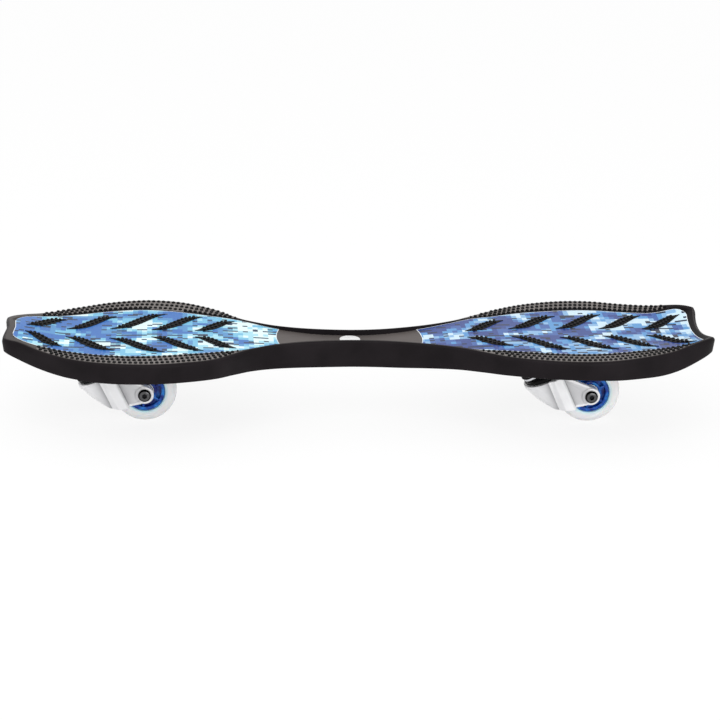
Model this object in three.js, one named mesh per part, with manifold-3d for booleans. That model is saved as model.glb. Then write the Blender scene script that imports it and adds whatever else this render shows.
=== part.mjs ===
// A two-wheeled caster board, in millimetres.
// +X points to the tail, +Y to the far side, +Z up. The origin is on the ground under the middle.
// The one-piece deck twists at its waist, so it is held as a front and a rear half that meet there.
// Each of its two lobes stands on a swivelling caster whose steering axis leans forward at the top.

import * as THREE from 'three';
import { mergeVertices } from 'three/addons/utils/BufferGeometryUtils.js';
import Module from 'manifold-3d';

const wasm = await Module();
wasm.setup();

// Running and seating clearances, and the overrun of a cut past the face it opens
const seatGap = 0.3;
const runningGap = 0.5;
const cutOverrun = 2;

// Deck
const boardLength = 839;
const boardWidth = 241;
const deckHeight = 106;
const kickRise = 22.5;
const waistDepth = 32.6;
const waistRecess = 6.4;
const waistPlace = 2.5;
const waistGap = 0.3;
const skinThickness = 4.5;
const wallThickness = 4.5;
const wallDraft = 1.6;
const edgeRadius = 4;
const footRadius = 1.6;
const cornerShare = 0.3;
const rimFilletShare = 0.7;
const stepWidth = 0.7;
const noseNotch = 3.4;
const noseNotchReach = 30;
const tailNotch = 6.3;
const tailNotchReach = 50;
const notchFade = 26;

// Ribs under the deck
const ribThickness = 3;
const ribPitch = 66;
const ribInset = 1.5;
const ribOffset = 34;

// Printed film, its border and the leaf pads that stand through it
const filmThickness = 0.5;
const filmBorder = 1;
const noseBorder = 11;
const tailBorder = 12;
const frontFilmEnd = 96.5;
const rearFilmEnd = 69.5;
const filmHollow = 4;
const leafHalfWidth = 8;
const leafRise = 1.9;
const leafRoot = 3;
const leafWindowGap = 0.7;

// Round badge in the waist
const badgeRadius = 12.5;
const badgeThickness = 1.2;
const badgeDepth = 0.6;

// Wheels
const wheelRadius = 38;
const wheelWidth = 24;
const treadRadius = 10;
const tyreBore = 24;
const tyreLip = 2;
const hubWidth = 20;
const hubRim = 4;
const hubWeb = 5;
const hubCollar = 3;
const hubSpokes = 6;
const spokeThickness = 2.6;
const spokeRecess = 1.2;

// Wheel bearings and axle
const bearingRadius = 11;
const bearingWidth = 7;
const bearingBore = 4;
const bearingOuterWall = 1.8;
const bearingInnerWall = 1.9;
const bearingBallRadius = 1.7;
const bearingBallInset = 0.6;
const ballRingGap = 0.6;
const bearingSpacerWall = 1.6;
const axleHeadRadius = 7.8;
const axleHeadHeight = 3.4;
const axleSocketRadius = 3;
const axleSocketDepth = 2.4;
const axleSpacerRadius = 6.2;
const axleNutRadius = 7;
const axleNutHeight = 5;
const axleEnd = 1.5;

// Caster placing: overhangs from the ends of the deck, and the lean of the steering axis
const frontAxleOverhang = 165;
const rearAxleOverhang = 137.5;
const casterLeanDegrees = 25;
const steeringOffset = 42;

// Caster fork
const crownHeight = 40;
const crownRadius = 27;
const crownThickness = 5.5;
const forkRimHeight = 0.5;
const hoodWall = 4;
const forkInnerHalf = 15.5;
const legThickness = 6.5;
const bossRadius = 10.8;
const bossProud = 1.5;
const wheelClearance = 2.5;
const ridgeFront = 7.5;
const ridgeRear = 19.7;
const ridgeProud = 3;
const ridgeFlank = 8;
const ridgeBevel = 2.5;
const legDrop = 9.2;

// Swivel bearing between fork and plate
const lowerRaceThickness = 2.6;
const upperRaceThickness = 2.6;
const raceRadius = 17;
const swivelBallRadius = 2;
const swivelBallCircle = 13;
const swivelBalls = 9;
const cageThickness = 1.4;
const cageHalfWidth = 2.6;
const dustRingWall = 7.2;

// Mounting plate, kingpin and screws
const plateHalf = 24;
const plateCorner = 7;
const plateThickness = 3;
const plateMargin = 2;
const kingpinRadius = 5;
const kingpinHeadRadius = 8;
const kingpinHeadHeight = 4;
const kingpinNutRadius = 8.5;
const kingpinNutHeight = 6.5;
const kingpinEnd = 1.5;
const screwPlace = 18.3;
const screwRadius = 2.5;
const screwLength = 16;
const screwHeadRadius = 4.2;
const screwHeadHeight = 3.6;
const screwSocketRadius = 1.9;
const screwSocketDepth = 2;

// Facets of round pieces
const wheelFacets = 28;
const hubFacets = 22;
const roundFacets = 18;
const smallFacets = 10;
const screwFacets = 8;
const ballFacets = 5;
const treadSteps = 3;

// Half width of the deck, as shares of half its length and half its width
const outlineShares = [
  [-1, 0.25], [-0.996, 0.313], [-0.988, 0.365], [-0.975, 0.405], [-0.95, 0.455], [-0.9, 0.58],
  [-0.85, 0.701], [-0.8, 0.81], [-0.72, 0.932], [-0.62, 1], [-0.54, 0.979], [-0.47, 0.899],
  [-0.41, 0.776], [-0.36, 0.603], [-0.31, 0.447], [-0.24, 0.314], [-0.15, 0.223], [-0.04, 0.181],
  [0.05, 0.193], [0.13, 0.245], [0.21, 0.327], [0.28, 0.435], [0.34, 0.574], [0.4, 0.717],
  [0.48, 0.854], [0.56, 0.937], [0.635, 0.964], [0.71, 0.935], [0.78, 0.853], [0.85, 0.762],
  [0.92, 0.652], [0.96, 0.582], [0.985, 0.513], [0.995, 0.45], [1, 0.38],
];

// Half width inside the raised rim and grip crescents, as shares of the same
const recessShares = [
  [-1, 0.13], [-0.98, 0.25], [-0.95, 0.355], [-0.93, 0.405], [-0.88, 0.478], [-0.83, 0.543],
  [-0.78, 0.603], [-0.73, 0.658], [-0.66, 0.703], [-0.6, 0.709], [-0.53, 0.673], [-0.47, 0.616],
  [-0.41, 0.554], [-0.36, 0.495], [-0.33, 0.45], [-0.3, 0.39], [-0.24, 0.276], [-0.15, 0.185],
  [-0.04, 0.143], [0.05, 0.155], [0.13, 0.207], [0.21, 0.289], [0.28, 0.39], [0.31, 0.442],
  [0.34, 0.485], [0.4, 0.532], [0.48, 0.612], [0.56, 0.663], [0.635, 0.686], [0.71, 0.665],
  [0.78, 0.608], [0.85, 0.556], [0.89, 0.545], [0.93, 0.55], [0.955, 0.52], [0.98, 0.44], [1, 0.3],
];

// Height of the deck's edge, as shares of half its length and the tail's kick
const edgeHeightShares = [
  [-1, 0.366], [-0.95, 0.335], [-0.9, 0.184], [-0.85, 0.115], [-0.78, 0.105], [-0.7, 0.169],
  [-0.6, 0.217], [-0.5, 0.208], [-0.42, 0.119], [-0.32, 0.052], [-0.04, 0.06], [0.1, 0.083],
  [0.2, 0.114], [0.3, 0.153], [0.4, 0.204], [0.5, 0.311], [0.6, 0.381], [0.7, 0.434], [0.8, 0.48],
  [0.87, 0.592], [0.92, 0.809], [0.96, 0.956], [1, 1],
];

// Height of the deck along its middle, as shares of the same
const middleHeightShares = [
  [-1, 0.462], [-0.95, 0.418], [-0.88, 0.218], [-0.83, 0.11], [-0.7, 0.081], [-0.6, 0.094],
  [-0.47, 0.086], [-0.32, 0.039], [-0.04, 0.039], [0.1, 0.062], [0.2, 0.098], [0.3, 0.166],
  [0.43, 0.242], [0.57, 0.246], [0.7, 0.289], [0.82, 0.324], [0.9, 0.36], [0.95, 0.436], [1, 0.554],
];

// Depth of the deck's side wall below its middle, as shares of half its length and the waist's depth
const wallDepthShares = [
  [-1, 0.22], [-0.95, 0.43], [-0.905, 0.555], [-0.857, 0.635], [-0.81, 0.665], [-0.71, 0.655],
  [-0.62, 0.612], [-0.52, 0.608], [-0.43, 0.667], [-0.33, 0.818], [-0.238, 0.915], [-0.143, 0.983],
  [-0.05, 1], [0.095, 0.973], [0.19, 0.884], [0.286, 0.752], [0.38, 0.615], [0.476, 0.512],
  [0.62, 0.449], [0.72, 0.483], [0.81, 0.51], [0.857, 0.468], [0.905, 0.34], [0.952, 0.125],
  [1, -0.11],
];

// Depth of the recess inside the rim, as shares of half the deck's length and the waist's recess
const recessDepthShares = [
  [-1, 0], [-0.985, 0], [-0.975, 0.2], [-0.45, 0.2], [-0.36, 0.22], [-0.28, 0.42], [-0.2, 0.7],
  [-0.12, 0.94], [-0.04, 1], [0.05, 0.97], [0.13, 0.8], [0.21, 0.52], [0.29, 0.3], [0.36, 0.2],
  [0.6, 0.2], [0.82, 0.2], [0.87, 0.27], [0.92, 0.4], [0.955, 0.45], [0.972, 0.45], [0.982, 0],
  [1, 0],
];

// Stations of the two halves, as shares of half the deck's length
const frontStationShares = [
  -1, -0.994, -0.984, -0.974, -0.95, -0.91, -0.86, -0.8, -0.73, -0.66, -0.6, -0.54, -0.47,
  -0.41, -0.36, -0.31, -0.25, -0.18, -0.11, -0.04,
];
const rearStationShares = [
  0.05, 0.13, 0.21, 0.28, 0.34, 0.4, 0.48, 0.56, 0.635, 0.71, 0.78, 0.85, 0.9, 0.935,
  0.955, 0.972, 0.982, 0.99, 0.996, 1,
];

// Columns across the recess, as shares of its half width
const acrossShares = [1, 0.5, 0];

// Leaf pads of one side: inner tip and outer tip, as shares of half the length and half the width
const leafShares = [
  [-0.94, 0.097, -0.834, 0.402],
  [-0.827, 0.116, -0.69, 0.51],
  [-0.705, 0.14, -0.55, 0.571],
  [-0.588, 0.108, -0.443, 0.513],
  [-0.465, 0.095, -0.351, 0.403],
  [0.308, 0.095, 0.429, 0.382],
  [0.434, 0.118, 0.586, 0.505],
  [0.572, 0.13, 0.722, 0.529],
  [0.696, 0.11, 0.838, 0.473],
  [0.823, 0.101, 0.95, 0.411],
];
const leafSwayShare = 0.09;
const leafSteps = 5;

// Hood of the fork: height share of the crown's, front reach and half width as shares of its radius
const hoodShares = [
  [0, 0.2, 0.8],
  [0.1, 0.36, 0.83],
  [0.28, 0.55, 0.87],
  [0.5, 0.745, 0.91],
  [0.75, 0.9, 0.96],
  [1, 1, 1],
];
const hoodSteps = 6;

// Fork leg: the two curve points of its lower edge, as shares of the boss's radius and the leg's drop
const legEdgeShares = [[2.6, 0.55], [0.75, 0.97]];
const legTopShares = [0.9, 0.6];

const halfLength = boardLength / 2;
const halfWidth = boardWidth / 2;
const casterLean = THREE.MathUtils.degToRad(casterLeanDegrees);
const frontAxleX = frontAxleOverhang - halfLength;
const rearAxleX = halfLength - rearAxleOverhang;

// Levels of the swivel's stack above the axle, along the steering axis
const lowerRaceBottom = crownHeight + seatGap;
const lowerRaceTop = lowerRaceBottom + lowerRaceThickness;
const ballLevel = lowerRaceTop + seatGap + swivelBallRadius;
const upperRaceBottom = ballLevel + swivelBallRadius + seatGap;
const upperRaceTop = upperRaceBottom + upperRaceThickness;
const plateBottom = upperRaceTop + seatGap;
const plateTop = plateBottom + plateThickness;
const blockBottom = plateTop + seatGap;
const screwHeadBottom = plateBottom - seatGap - screwHeadHeight;

const legOuter = forkInnerHalf + legThickness;
const bossFace = legOuter + bossProud;
const bearingCentre = (hubWidth - bearingWidth) / 2;

const materials = {
  deck: new THREE.MeshStandardMaterial({ color: 0x211f22, roughness: 0.55, metalness: 0 }),
  film: new THREE.MeshStandardMaterial({ color: 0x5c8fd8, roughness: 0.35, metalness: 0 }),
  badge: new THREE.MeshStandardMaterial({ color: 0xf2f2f2, roughness: 0.35, metalness: 0 }),
  cast: new THREE.MeshStandardMaterial({ color: 0xe6e6ea, roughness: 0.35, metalness: 0.7 }),
  steel: new THREE.MeshStandardMaterial({ color: 0xc2c4c8, roughness: 0.3, metalness: 1 }),
  blackSteel: new THREE.MeshStandardMaterial({ color: 0x1c1c1e, roughness: 0.4, metalness: 0.8 }),
  blackPlastic: new THREE.MeshStandardMaterial({ color: 0x18181a, roughness: 0.5, metalness: 0 }),
  urethane: new THREE.MeshStandardMaterial({ color: 0xe9f1f4, roughness: 0.2, metalness: 0 }),
  hub: new THREE.MeshStandardMaterial({ color: 0x1b5cc4, roughness: 0.3, metalness: 0 }),
};

// Solids for joining and cutting
function toSolid(geometry) {
  const bare = geometry.clone();
  bare.deleteAttribute('normal');
  bare.deleteAttribute('uv');
  const merged = mergeVertices(bare);
  return new wasm.Manifold(new wasm.Mesh({
    numProp: 3,
    vertProperties: new Float32Array(merged.attributes.position.array),
    triVerts: new Uint32Array(merged.index.array),
  }));
}

function toGeometry(solid) {
  const mesh = solid.getMesh();
  const geometry = new THREE.BufferGeometry();
  geometry.setAttribute('position', new THREE.BufferAttribute(new Float32Array(mesh.vertProperties), 3));
  geometry.setIndex(new THREE.BufferAttribute(new Uint32Array(mesh.triVerts), 1));
  geometry.computeVertexNormals();
  return geometry;
}

function joined(...solids) {
  return solids.reduce((sum, solid) => sum.add(solid));
}

// A curve through rows of [place, value] shares
function smoothTable(rows) {
  const last = rows.length - 1;
  const slopes = rows.map((row, i) => {
    const before = rows[Math.max(i - 1, 0)];
    const after = rows[Math.min(i + 1, last)];
    return (after[1] - before[1]) / (after[0] - before[0]);
  });
  return (place) => {
    const held = THREE.MathUtils.clamp(place, rows[0][0], rows[last][0]);
    const next = Math.max(rows.findIndex((row) => row[0] >= held), 1);
    const start = rows[next - 1];
    const end = rows[next];
    const span = end[0] - start[0];
    const t = (held - start[0]) / span;
    const u = 1 - t;
    const pull = t * u * u * slopes[next - 1] - t * t * u * slopes[next];
    return start[1] * u * u * (1 + 2 * t) + end[1] * t * t * (3 - 2 * t) + pull * span;
  };
}

const outlineAt = smoothTable(outlineShares);
const recessAt = smoothTable(recessShares);
const edgeAt = smoothTable(edgeHeightShares);
const middleAt = smoothTable(middleHeightShares);
const depthAt = smoothTable(wallDepthShares);
const recessDepthAt = smoothTable(recessDepthShares);

const outerHalf = (x) => outlineAt(x / halfLength) * halfWidth;
const recessHalf = (x) => recessAt(x / halfLength) * halfWidth;
const edgeHeight = (x) => deckHeight + edgeAt(x / halfLength) * kickRise;
const wallFoot = (x) => deckHeight - depthAt(x / halfLength) * waistDepth;
const recessDepth = (x) => recessDepthAt(x / halfLength) * waistRecess;
const rimWidth = (x) => outerHalf(x) - recessHalf(x) - stepWidth;
const edgeFillet = (x) => Math.min(edgeRadius, rimWidth(x) * rimFilletShare);

// The deck's upper surface is hollowed across; the film lies in a recess of it
function upperHeight(x, y) {
  const middle = deckHeight + middleAt(x / halfLength) * kickRise;
  const share = Math.min(Math.abs(y) / outerHalf(x), 1);
  return middle + (edgeHeight(x) - middle) * share * share;
}

function floorHeight(x, y) {
  return upperHeight(x, y) - recessDepth(x);
}

// The nose and the tail are notched, so places near the ends are drawn in towards the middle
function notched(x, y) {
  const toNose = Math.max(1 - (x + halfLength) / notchFade, 0);
  const toTail = Math.max(1 - (halfLength - x) / notchFade, 0);
  const noseDip = Math.max(1 - Math.abs(y) / noseNotchReach, 0);
  const tailDip = Math.max(1 - (y / tailNotchReach) ** 2, 0);
  return x + toNose * noseDip * noseNotch - toTail * tailDip * tailNotch;
}

// A closed solid between an upper and a lower row of [y, z] points at each station
function stationSolid(stations, upperRow, lowerRow) {
  const points = [];
  const faces = [];
  const columns = upperRow(stations[0]).length;
  for (const x of stations) {
    for (const [y, z] of [...upperRow(x), ...lowerRow(x)]) {
      points.push(notched(x, y), y, z);
    }
  }
  const ring = 2 * columns;
  const quad = (a, b, c, d) => faces.push(a, b, c, a, c, d);
  for (let s = 0; s < stations.length - 1; s += 1) {
    const here = s * ring;
    const there = here + ring;
    for (let c = 0; c < columns - 1; c += 1) {
      quad(here + c, there + c, there + c + 1, here + c + 1);
      const low = columns + c;
      quad(here + low, here + low + 1, there + low + 1, there + low);
    }
    quad(here, here + columns, there + columns, there);
    const far = columns - 1;
    quad(here + far, there + far, there + far + columns, here + far + columns);
  }
  const end = (stations.length - 1) * ring;
  for (let c = 0; c < columns - 1; c += 1) {
    quad(c, c + 1, c + 1 + columns, c + columns);
    quad(end + c, end + c + columns, end + c + 1 + columns, end + c + 1);
  }
  const geometry = new THREE.BufferGeometry();
  geometry.setAttribute('position', new THREE.Float32BufferAttribute(points, 3));
  geometry.setIndex(faces);
  return toSolid(geometry);
}

// A row of half-section points, nearest the far edge first, mirrored into a row right across
function acrossRow(half) {
  const near = half.map(([y, z]) => [-y, z]);
  const far = half.slice(0, -1).reverse();
  return [...near, ...far];
}

function deckUpperRow(x) {
  const outer = outerHalf(x);
  const inner = recessHalf(x);
  const rim = edgeHeight(x);
  const fillet = edgeFillet(x);
  const middle = (inner + stepWidth + outer - fillet) / 2;
  return acrossRow([
    [outer, rim - fillet],
    [outer - fillet * cornerShare, rim - fillet * cornerShare],
    [outer - fillet, rim],
    [middle, upperHeight(x, middle)],
    [inner + stepWidth, upperHeight(x, inner + stepWidth)],
    ...acrossShares.map((share) => [inner * share, floorHeight(x, inner * share)]),
  ]);
}

function deckLowerRow(x) {
  const outer = outerHalf(x) - wallDraft;
  const foot = wallFoot(x);
  const inner = recessHalf(x);
  return acrossRow([
    [outer, foot + footRadius],
    [outer - footRadius * cornerShare, foot + footRadius * cornerShare],
    [outer - footRadius, foot],
    [(inner + outer - footRadius) / 2, foot],
    [inner + stepWidth / 2, foot],
    ...acrossShares.map((share) => [inner * share, foot]),
  ]);
}

// The hollow under the deck, down past the foot of the wall
function hollowSolid(stations) {
  const side = (x) => outerHalf(x) - wallDraft - wallThickness;
  const roof = (x) => acrossRow(acrossShares.map((share) => {
    const y = side(x) * share;
    return [y, floorHeight(x, y) - skinThickness];
  }));
  const sill = (x) => acrossRow(acrossShares.map((share) => [side(x) * share, wallFoot(x) - cutOverrun]));
  return stationSolid(stations, roof, sill);
}

// Cross ribs and two long ribs, which stop short of the foot of the wall
function ribSolid(stations) {
  const first = stations[0];
  const last = stations[stations.length - 1];
  const length = last - first;
  const count = Math.max(Math.round(length / ribPitch), 2);
  const slab = (x, y, lengthX, lengthY) => {
    const box = new THREE.BoxGeometry(lengthX, lengthY, boardWidth);
    box.translate(x, y, deckHeight);
    return toSolid(box);
  };
  const slabs = [];
  for (let i = 1; i < count; i += 1) {
    slabs.push(slab(first + (length * i) / count, 0, ribThickness, boardWidth));
  }
  for (const side of [-1, 1]) {
    slabs.push(slab((first + last) / 2, side * ribOffset, length, ribThickness));
  }
  const field = stationSolid(
    stations,
    (x) => acrossRow([[outerHalf(x), deckHeight + boardWidth], [0, deckHeight + boardWidth]]),
    (x) => acrossRow([[outerHalf(x), wallFoot(x) + ribInset], [0, wallFoot(x) + ribInset]]),
  );
  return joined(...slabs).intersect(field);
}

// Places a shape made round the axle, with the steering axis upright, on the leaning caster
function casterMatrix(axleX) {
  const turn = new THREE.Matrix4().makeRotationY(-casterLean);
  return new THREE.Matrix4().makeTranslation(axleX, 0, wheelRadius).multiply(turn);
}

function roundedSquare(half, corner) {
  const shape = new THREE.Shape();
  const inner = half - corner;
  shape.moveTo(-inner, -half);
  shape.lineTo(inner, -half);
  shape.absarc(inner, -inner, corner, -Math.PI / 2, 0, false);
  shape.lineTo(half, inner);
  shape.absarc(inner, inner, corner, 0, Math.PI / 2, false);
  shape.lineTo(-inner, half);
  shape.absarc(-inner, inner, corner, Math.PI / 2, Math.PI, false);
  shape.lineTo(-half, -inner);
  shape.absarc(-inner, -inner, corner, Math.PI, 1.5 * Math.PI, false);
  return shape;
}

// A cylinder along the steering axis, between two levels
function swivelCylinder(radius, low, high, facets = roundFacets) {
  const geometry = new THREE.CylinderGeometry(radius, radius, high - low, facets);
  geometry.rotateX(Math.PI / 2);
  geometry.translate(-steeringOffset, 0, (low + high) / 2);
  return geometry;
}

const screwPlaces = [[-1, -1], [1, -1], [1, 1], [-1, 1]].map(([u, y]) => [
  u * screwPlace - steeringOffset,
  y * screwPlace,
]);

// The moulded wedge that carries the mounting plate, with its screw holes and kingpin pocket
function mountBlock(axleX, stations) {
  const outline = roundedSquare(plateHalf + plateMargin, plateCorner + plateMargin);
  const prism = new THREE.ExtrudeGeometry(outline, { depth: boardWidth, bevelEnabled: false, curveSegments: 3 });
  prism.translate(-steeringOffset, 0, blockBottom);
  prism.applyMatrix4(casterMatrix(axleX));
  const under = stationSolid(
    stations,
    (x) => acrossRow(acrossShares.map((share) => {
      const y = (outerHalf(x) - wallDraft) * share;
      return [y, floorHeight(x, y) - skinThickness / 2];
    })),
    (x) => acrossRow(acrossShares.map((share) => [(outerHalf(x) - wallDraft) * share, 0])),
  );
  return toSolid(prism).intersect(under);
}

function mountHoles(axleX) {
  const pocket = swivelCylinder(
    kingpinHeadRadius + runningGap,
    blockBottom - cutOverrun,
    plateTop + kingpinHeadHeight + runningGap,
  );
  const cuts = [pocket];
  for (const [u, y] of screwPlaces) {
    const depth = screwLength - plateThickness + runningGap;
    const hole = swivelCylinder(screwRadius + seatGap, blockBottom - cutOverrun, blockBottom + depth, screwFacets);
    hole.translate(u + steeringOffset, y, 0);
    cuts.push(hole);
  }
  return joined(...cuts.map((cut) => toSolid(cut.applyMatrix4(casterMatrix(axleX)))));
}

// A closed prism on the deck, between two heights that follow its surface
function padSolid(outline, low, high) {
  const faces = THREE.ShapeUtils.triangulateShape(outline, []);
  const points = [];
  for (const height of [low, high]) {
    for (const { x, y } of outline) {
      points.push(x, y, height(x, y));
    }
  }
  const count = outline.length;
  const index = [];
  for (const [a, b, c] of faces) {
    index.push(c, b, a, a + count, b + count, c + count);
  }
  for (let i = 0; i < count; i += 1) {
    const next = (i + 1) % count;
    index.push(i, next, next + count, i, next + count, i + count);
  }
  const geometry = new THREE.BufferGeometry();
  geometry.setAttribute('position', new THREE.Float32BufferAttribute(points, 3));
  geometry.setIndex(index);
  return toSolid(geometry);
}

// Outline of one leaf pad, swaying from its inner tip to its outer tip
function leafOutline(row, side, halfThickness) {
  const [innerX, innerY, outerX, outerY] = row;
  const from = new THREE.Vector2(innerX * halfLength, innerY * halfWidth);
  const to = new THREE.Vector2(outerX * halfLength, outerY * halfWidth);
  const along = to.clone().sub(from).normalize();
  const grown = halfThickness - leafHalfWidth;
  from.addScaledVector(along, -2 * grown);
  to.addScaledVector(along, 2 * grown);
  const right = [];
  const left = [];
  for (let i = 0; i <= leafSteps; i += 1) {
    const t = i / leafSteps;
    const sway = t - leafSwayShare * Math.sin(2 * Math.PI * t);
    const x = from.x + (to.x - from.x) * t;
    const y = from.y + (to.y - from.y) * sway;
    const half = Math.sin(Math.PI * t) * halfThickness;
    right.push([x + along.y * half, y - along.x * half]);
    if (i > 0 && i < leafSteps) {
      left.push([x - along.y * half, y + along.x * half]);
    }
  }
  const ring = [...right, ...left.reverse()].map(([x, y]) => new THREE.Vector2(x, y * side));
  return side > 0 ? ring : ring.reverse();
}

function leafPads(rows, halfThickness, low, high) {
  const pads = [];
  for (const row of rows) {
    for (const side of [-1, 1]) {
      pads.push(padSolid(leafOutline(row, side, halfThickness), low, high));
    }
  }
  return joined(...pads);
}

const frontLeaves = leafShares.filter((row) => row[0] < 0);
const rearLeaves = leafShares.filter((row) => row[0] > 0);

function deckHalf(stationShares, faceX, axleX, leaves) {
  const inside = stationShares.map((share) => share * halfLength);
  const front = axleX < 0;
  const stations = front ? [...inside, faceX] : [faceX, ...inside];
  const outer = stationSolid(stations, deckUpperRow, deckLowerRow);
  const endX = front ? -halfLength + 2 * wallThickness : halfLength - 2 * wallThickness;
  const doorX = front ? faceX - wallThickness : faceX + wallThickness;
  const low = Math.min(endX, doorX);
  const high = Math.max(endX, doorX);
  const hollowStations = [low, ...inside.filter((x) => x > low + cutOverrun && x < high - cutOverrun), high];
  const hollow = hollowSolid(hollowStations).subtract(ribSolid(hollowStations));
  const raised = leafPads(
    leaves,
    leafHalfWidth,
    (x, y) => floorHeight(x, y) - leafRoot,
    (x, y) => floorHeight(x, y) + leafRise,
  );
  const body = joined(outer.subtract(hollow), mountBlock(axleX, stations), raised);
  return body.subtract(mountHoles(axleX));
}

// Printed film in the recess, with windows for the leaf pads and a hollow end towards the waist
function filmSolid(noseSide, tailSide, stationShares, waistEnd, leaves) {
  const between = stationShares.map((share) => share * halfLength);
  const inside = between.filter((x) => x > noseSide + filmBorder && x < tailSide - filmBorder);
  const stations = [noseSide, ...inside, tailSide];
  const side = (x) => recessHalf(x) - filmBorder;
  const row = (lift) => (x) => acrossRow(acrossShares.map((share) => {
    const y = side(x) * share;
    return [y, floorHeight(x, y) + lift];
  }));
  const sheet = stationSolid(stations, row(seatGap + filmThickness), row(seatGap));
  const windows = leafPads(
    leaves,
    leafHalfWidth + leafWindowGap,
    (x, y) => floorHeight(x, y) - cutOverrun,
    (x, y) => floorHeight(x, y) + cutOverrun,
  );
  const bite = new THREE.CylinderGeometry(recessHalf(waistEnd), recessHalf(waistEnd), boardWidth, roundFacets);
  bite.rotateX(Math.PI / 2);
  bite.scale(filmHollow / recessHalf(waistEnd), 1, 1);
  bite.translate(waistEnd, 0, deckHeight);
  return sheet.subtract(windows).subtract(toSolid(bite));
}

// A ring or disc turned about the axle from a closed half profile of [radius, y] points
function turned(profile, facets) {
  const points = profile.map(([radius, y]) => new THREE.Vector2(radius, y));
  const closes = profile[0][0] > 0;
  if (closes) {
    points.push(points[0].clone());
  }
  return new THREE.LatheGeometry(points, facets);
}

function ringProfile(inner, outer, low, high) {
  return [[inner, low], [outer, low], [outer, high], [inner, high]];
}

// The same, turned about the steering axis, with levels along it
function swivelRing(inner, outer, low, high, facets = roundFacets) {
  const geometry = turned(ringProfile(inner, outer, low, high), facets);
  geometry.rotateX(Math.PI / 2);
  geometry.translate(-steeringOffset, 0, 0);
  return geometry;
}

function turnedFlat(geometry) {
  return toGeometry(toSolid(geometry));
}

// Fork: hood, crown, legs, ridges and axle bosses, cut for the wheel, the kingpin and the axle
function loft(rings) {
  const points = [];
  const faces = [];
  const count = rings[0].length;
  for (const ring of rings) {
    for (const point of ring) {
      points.push(...point);
    }
  }
  for (let r = 0; r < rings.length - 1; r += 1) {
    for (let i = 0; i < count; i += 1) {
      const next = (i + 1) % count;
      const a = r * count + i;
      const b = r * count + next;
      faces.push(a, b, b + count, a, b + count, a + count);
    }
  }
  const top = (rings.length - 1) * count;
  for (let i = 1; i < count - 1; i += 1) {
    faces.push(0, i + 1, i, top, top + i, top + i + 1);
  }
  const geometry = new THREE.BufferGeometry();
  geometry.setAttribute('position', new THREE.Float32BufferAttribute(points, 3));
  geometry.setIndex(faces);
  return toSolid(geometry);
}

function hoodRing(level, reach, half, rear) {
  const ring = [[rear, half, level]];
  for (let i = 0; i <= hoodSteps; i += 1) {
    const angle = Math.PI / 2 + (Math.PI * i) / hoodSteps;
    ring.push([-steeringOffset + Math.cos(angle) * reach, Math.sin(angle) * half, level]);
  }
  ring.push([rear, -half, level]);
  return ring;
}

function forkSide() {
  const shape = new THREE.Shape();
  const [bend, foot] = legEdgeShares.map(([out, down]) => [-bossRadius * out, -legDrop * down]);
  shape.moveTo(-steeringOffset, forkRimHeight);
  shape.quadraticCurveTo(...bend, ...foot);
  shape.absarc(0, 0, bossRadius, Math.PI * 1.3, Math.PI * 2.2, false);
  shape.lineTo(-steeringOffset + crownRadius * legTopShares[0], crownHeight - crownThickness);
  shape.lineTo(-steeringOffset + crownRadius * legTopShares[1], crownHeight);
  shape.lineTo(-steeringOffset, crownHeight);
  return shape;
}

function acrossExtrusion(shape, from, to) {
  const geometry = new THREE.ExtrudeGeometry(shape, { depth: to - from, bevelEnabled: false, curveSegments: 5 });
  geometry.rotateX(Math.PI / 2);
  geometry.translate(0, to, 0);
  return toSolid(geometry);
}

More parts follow.
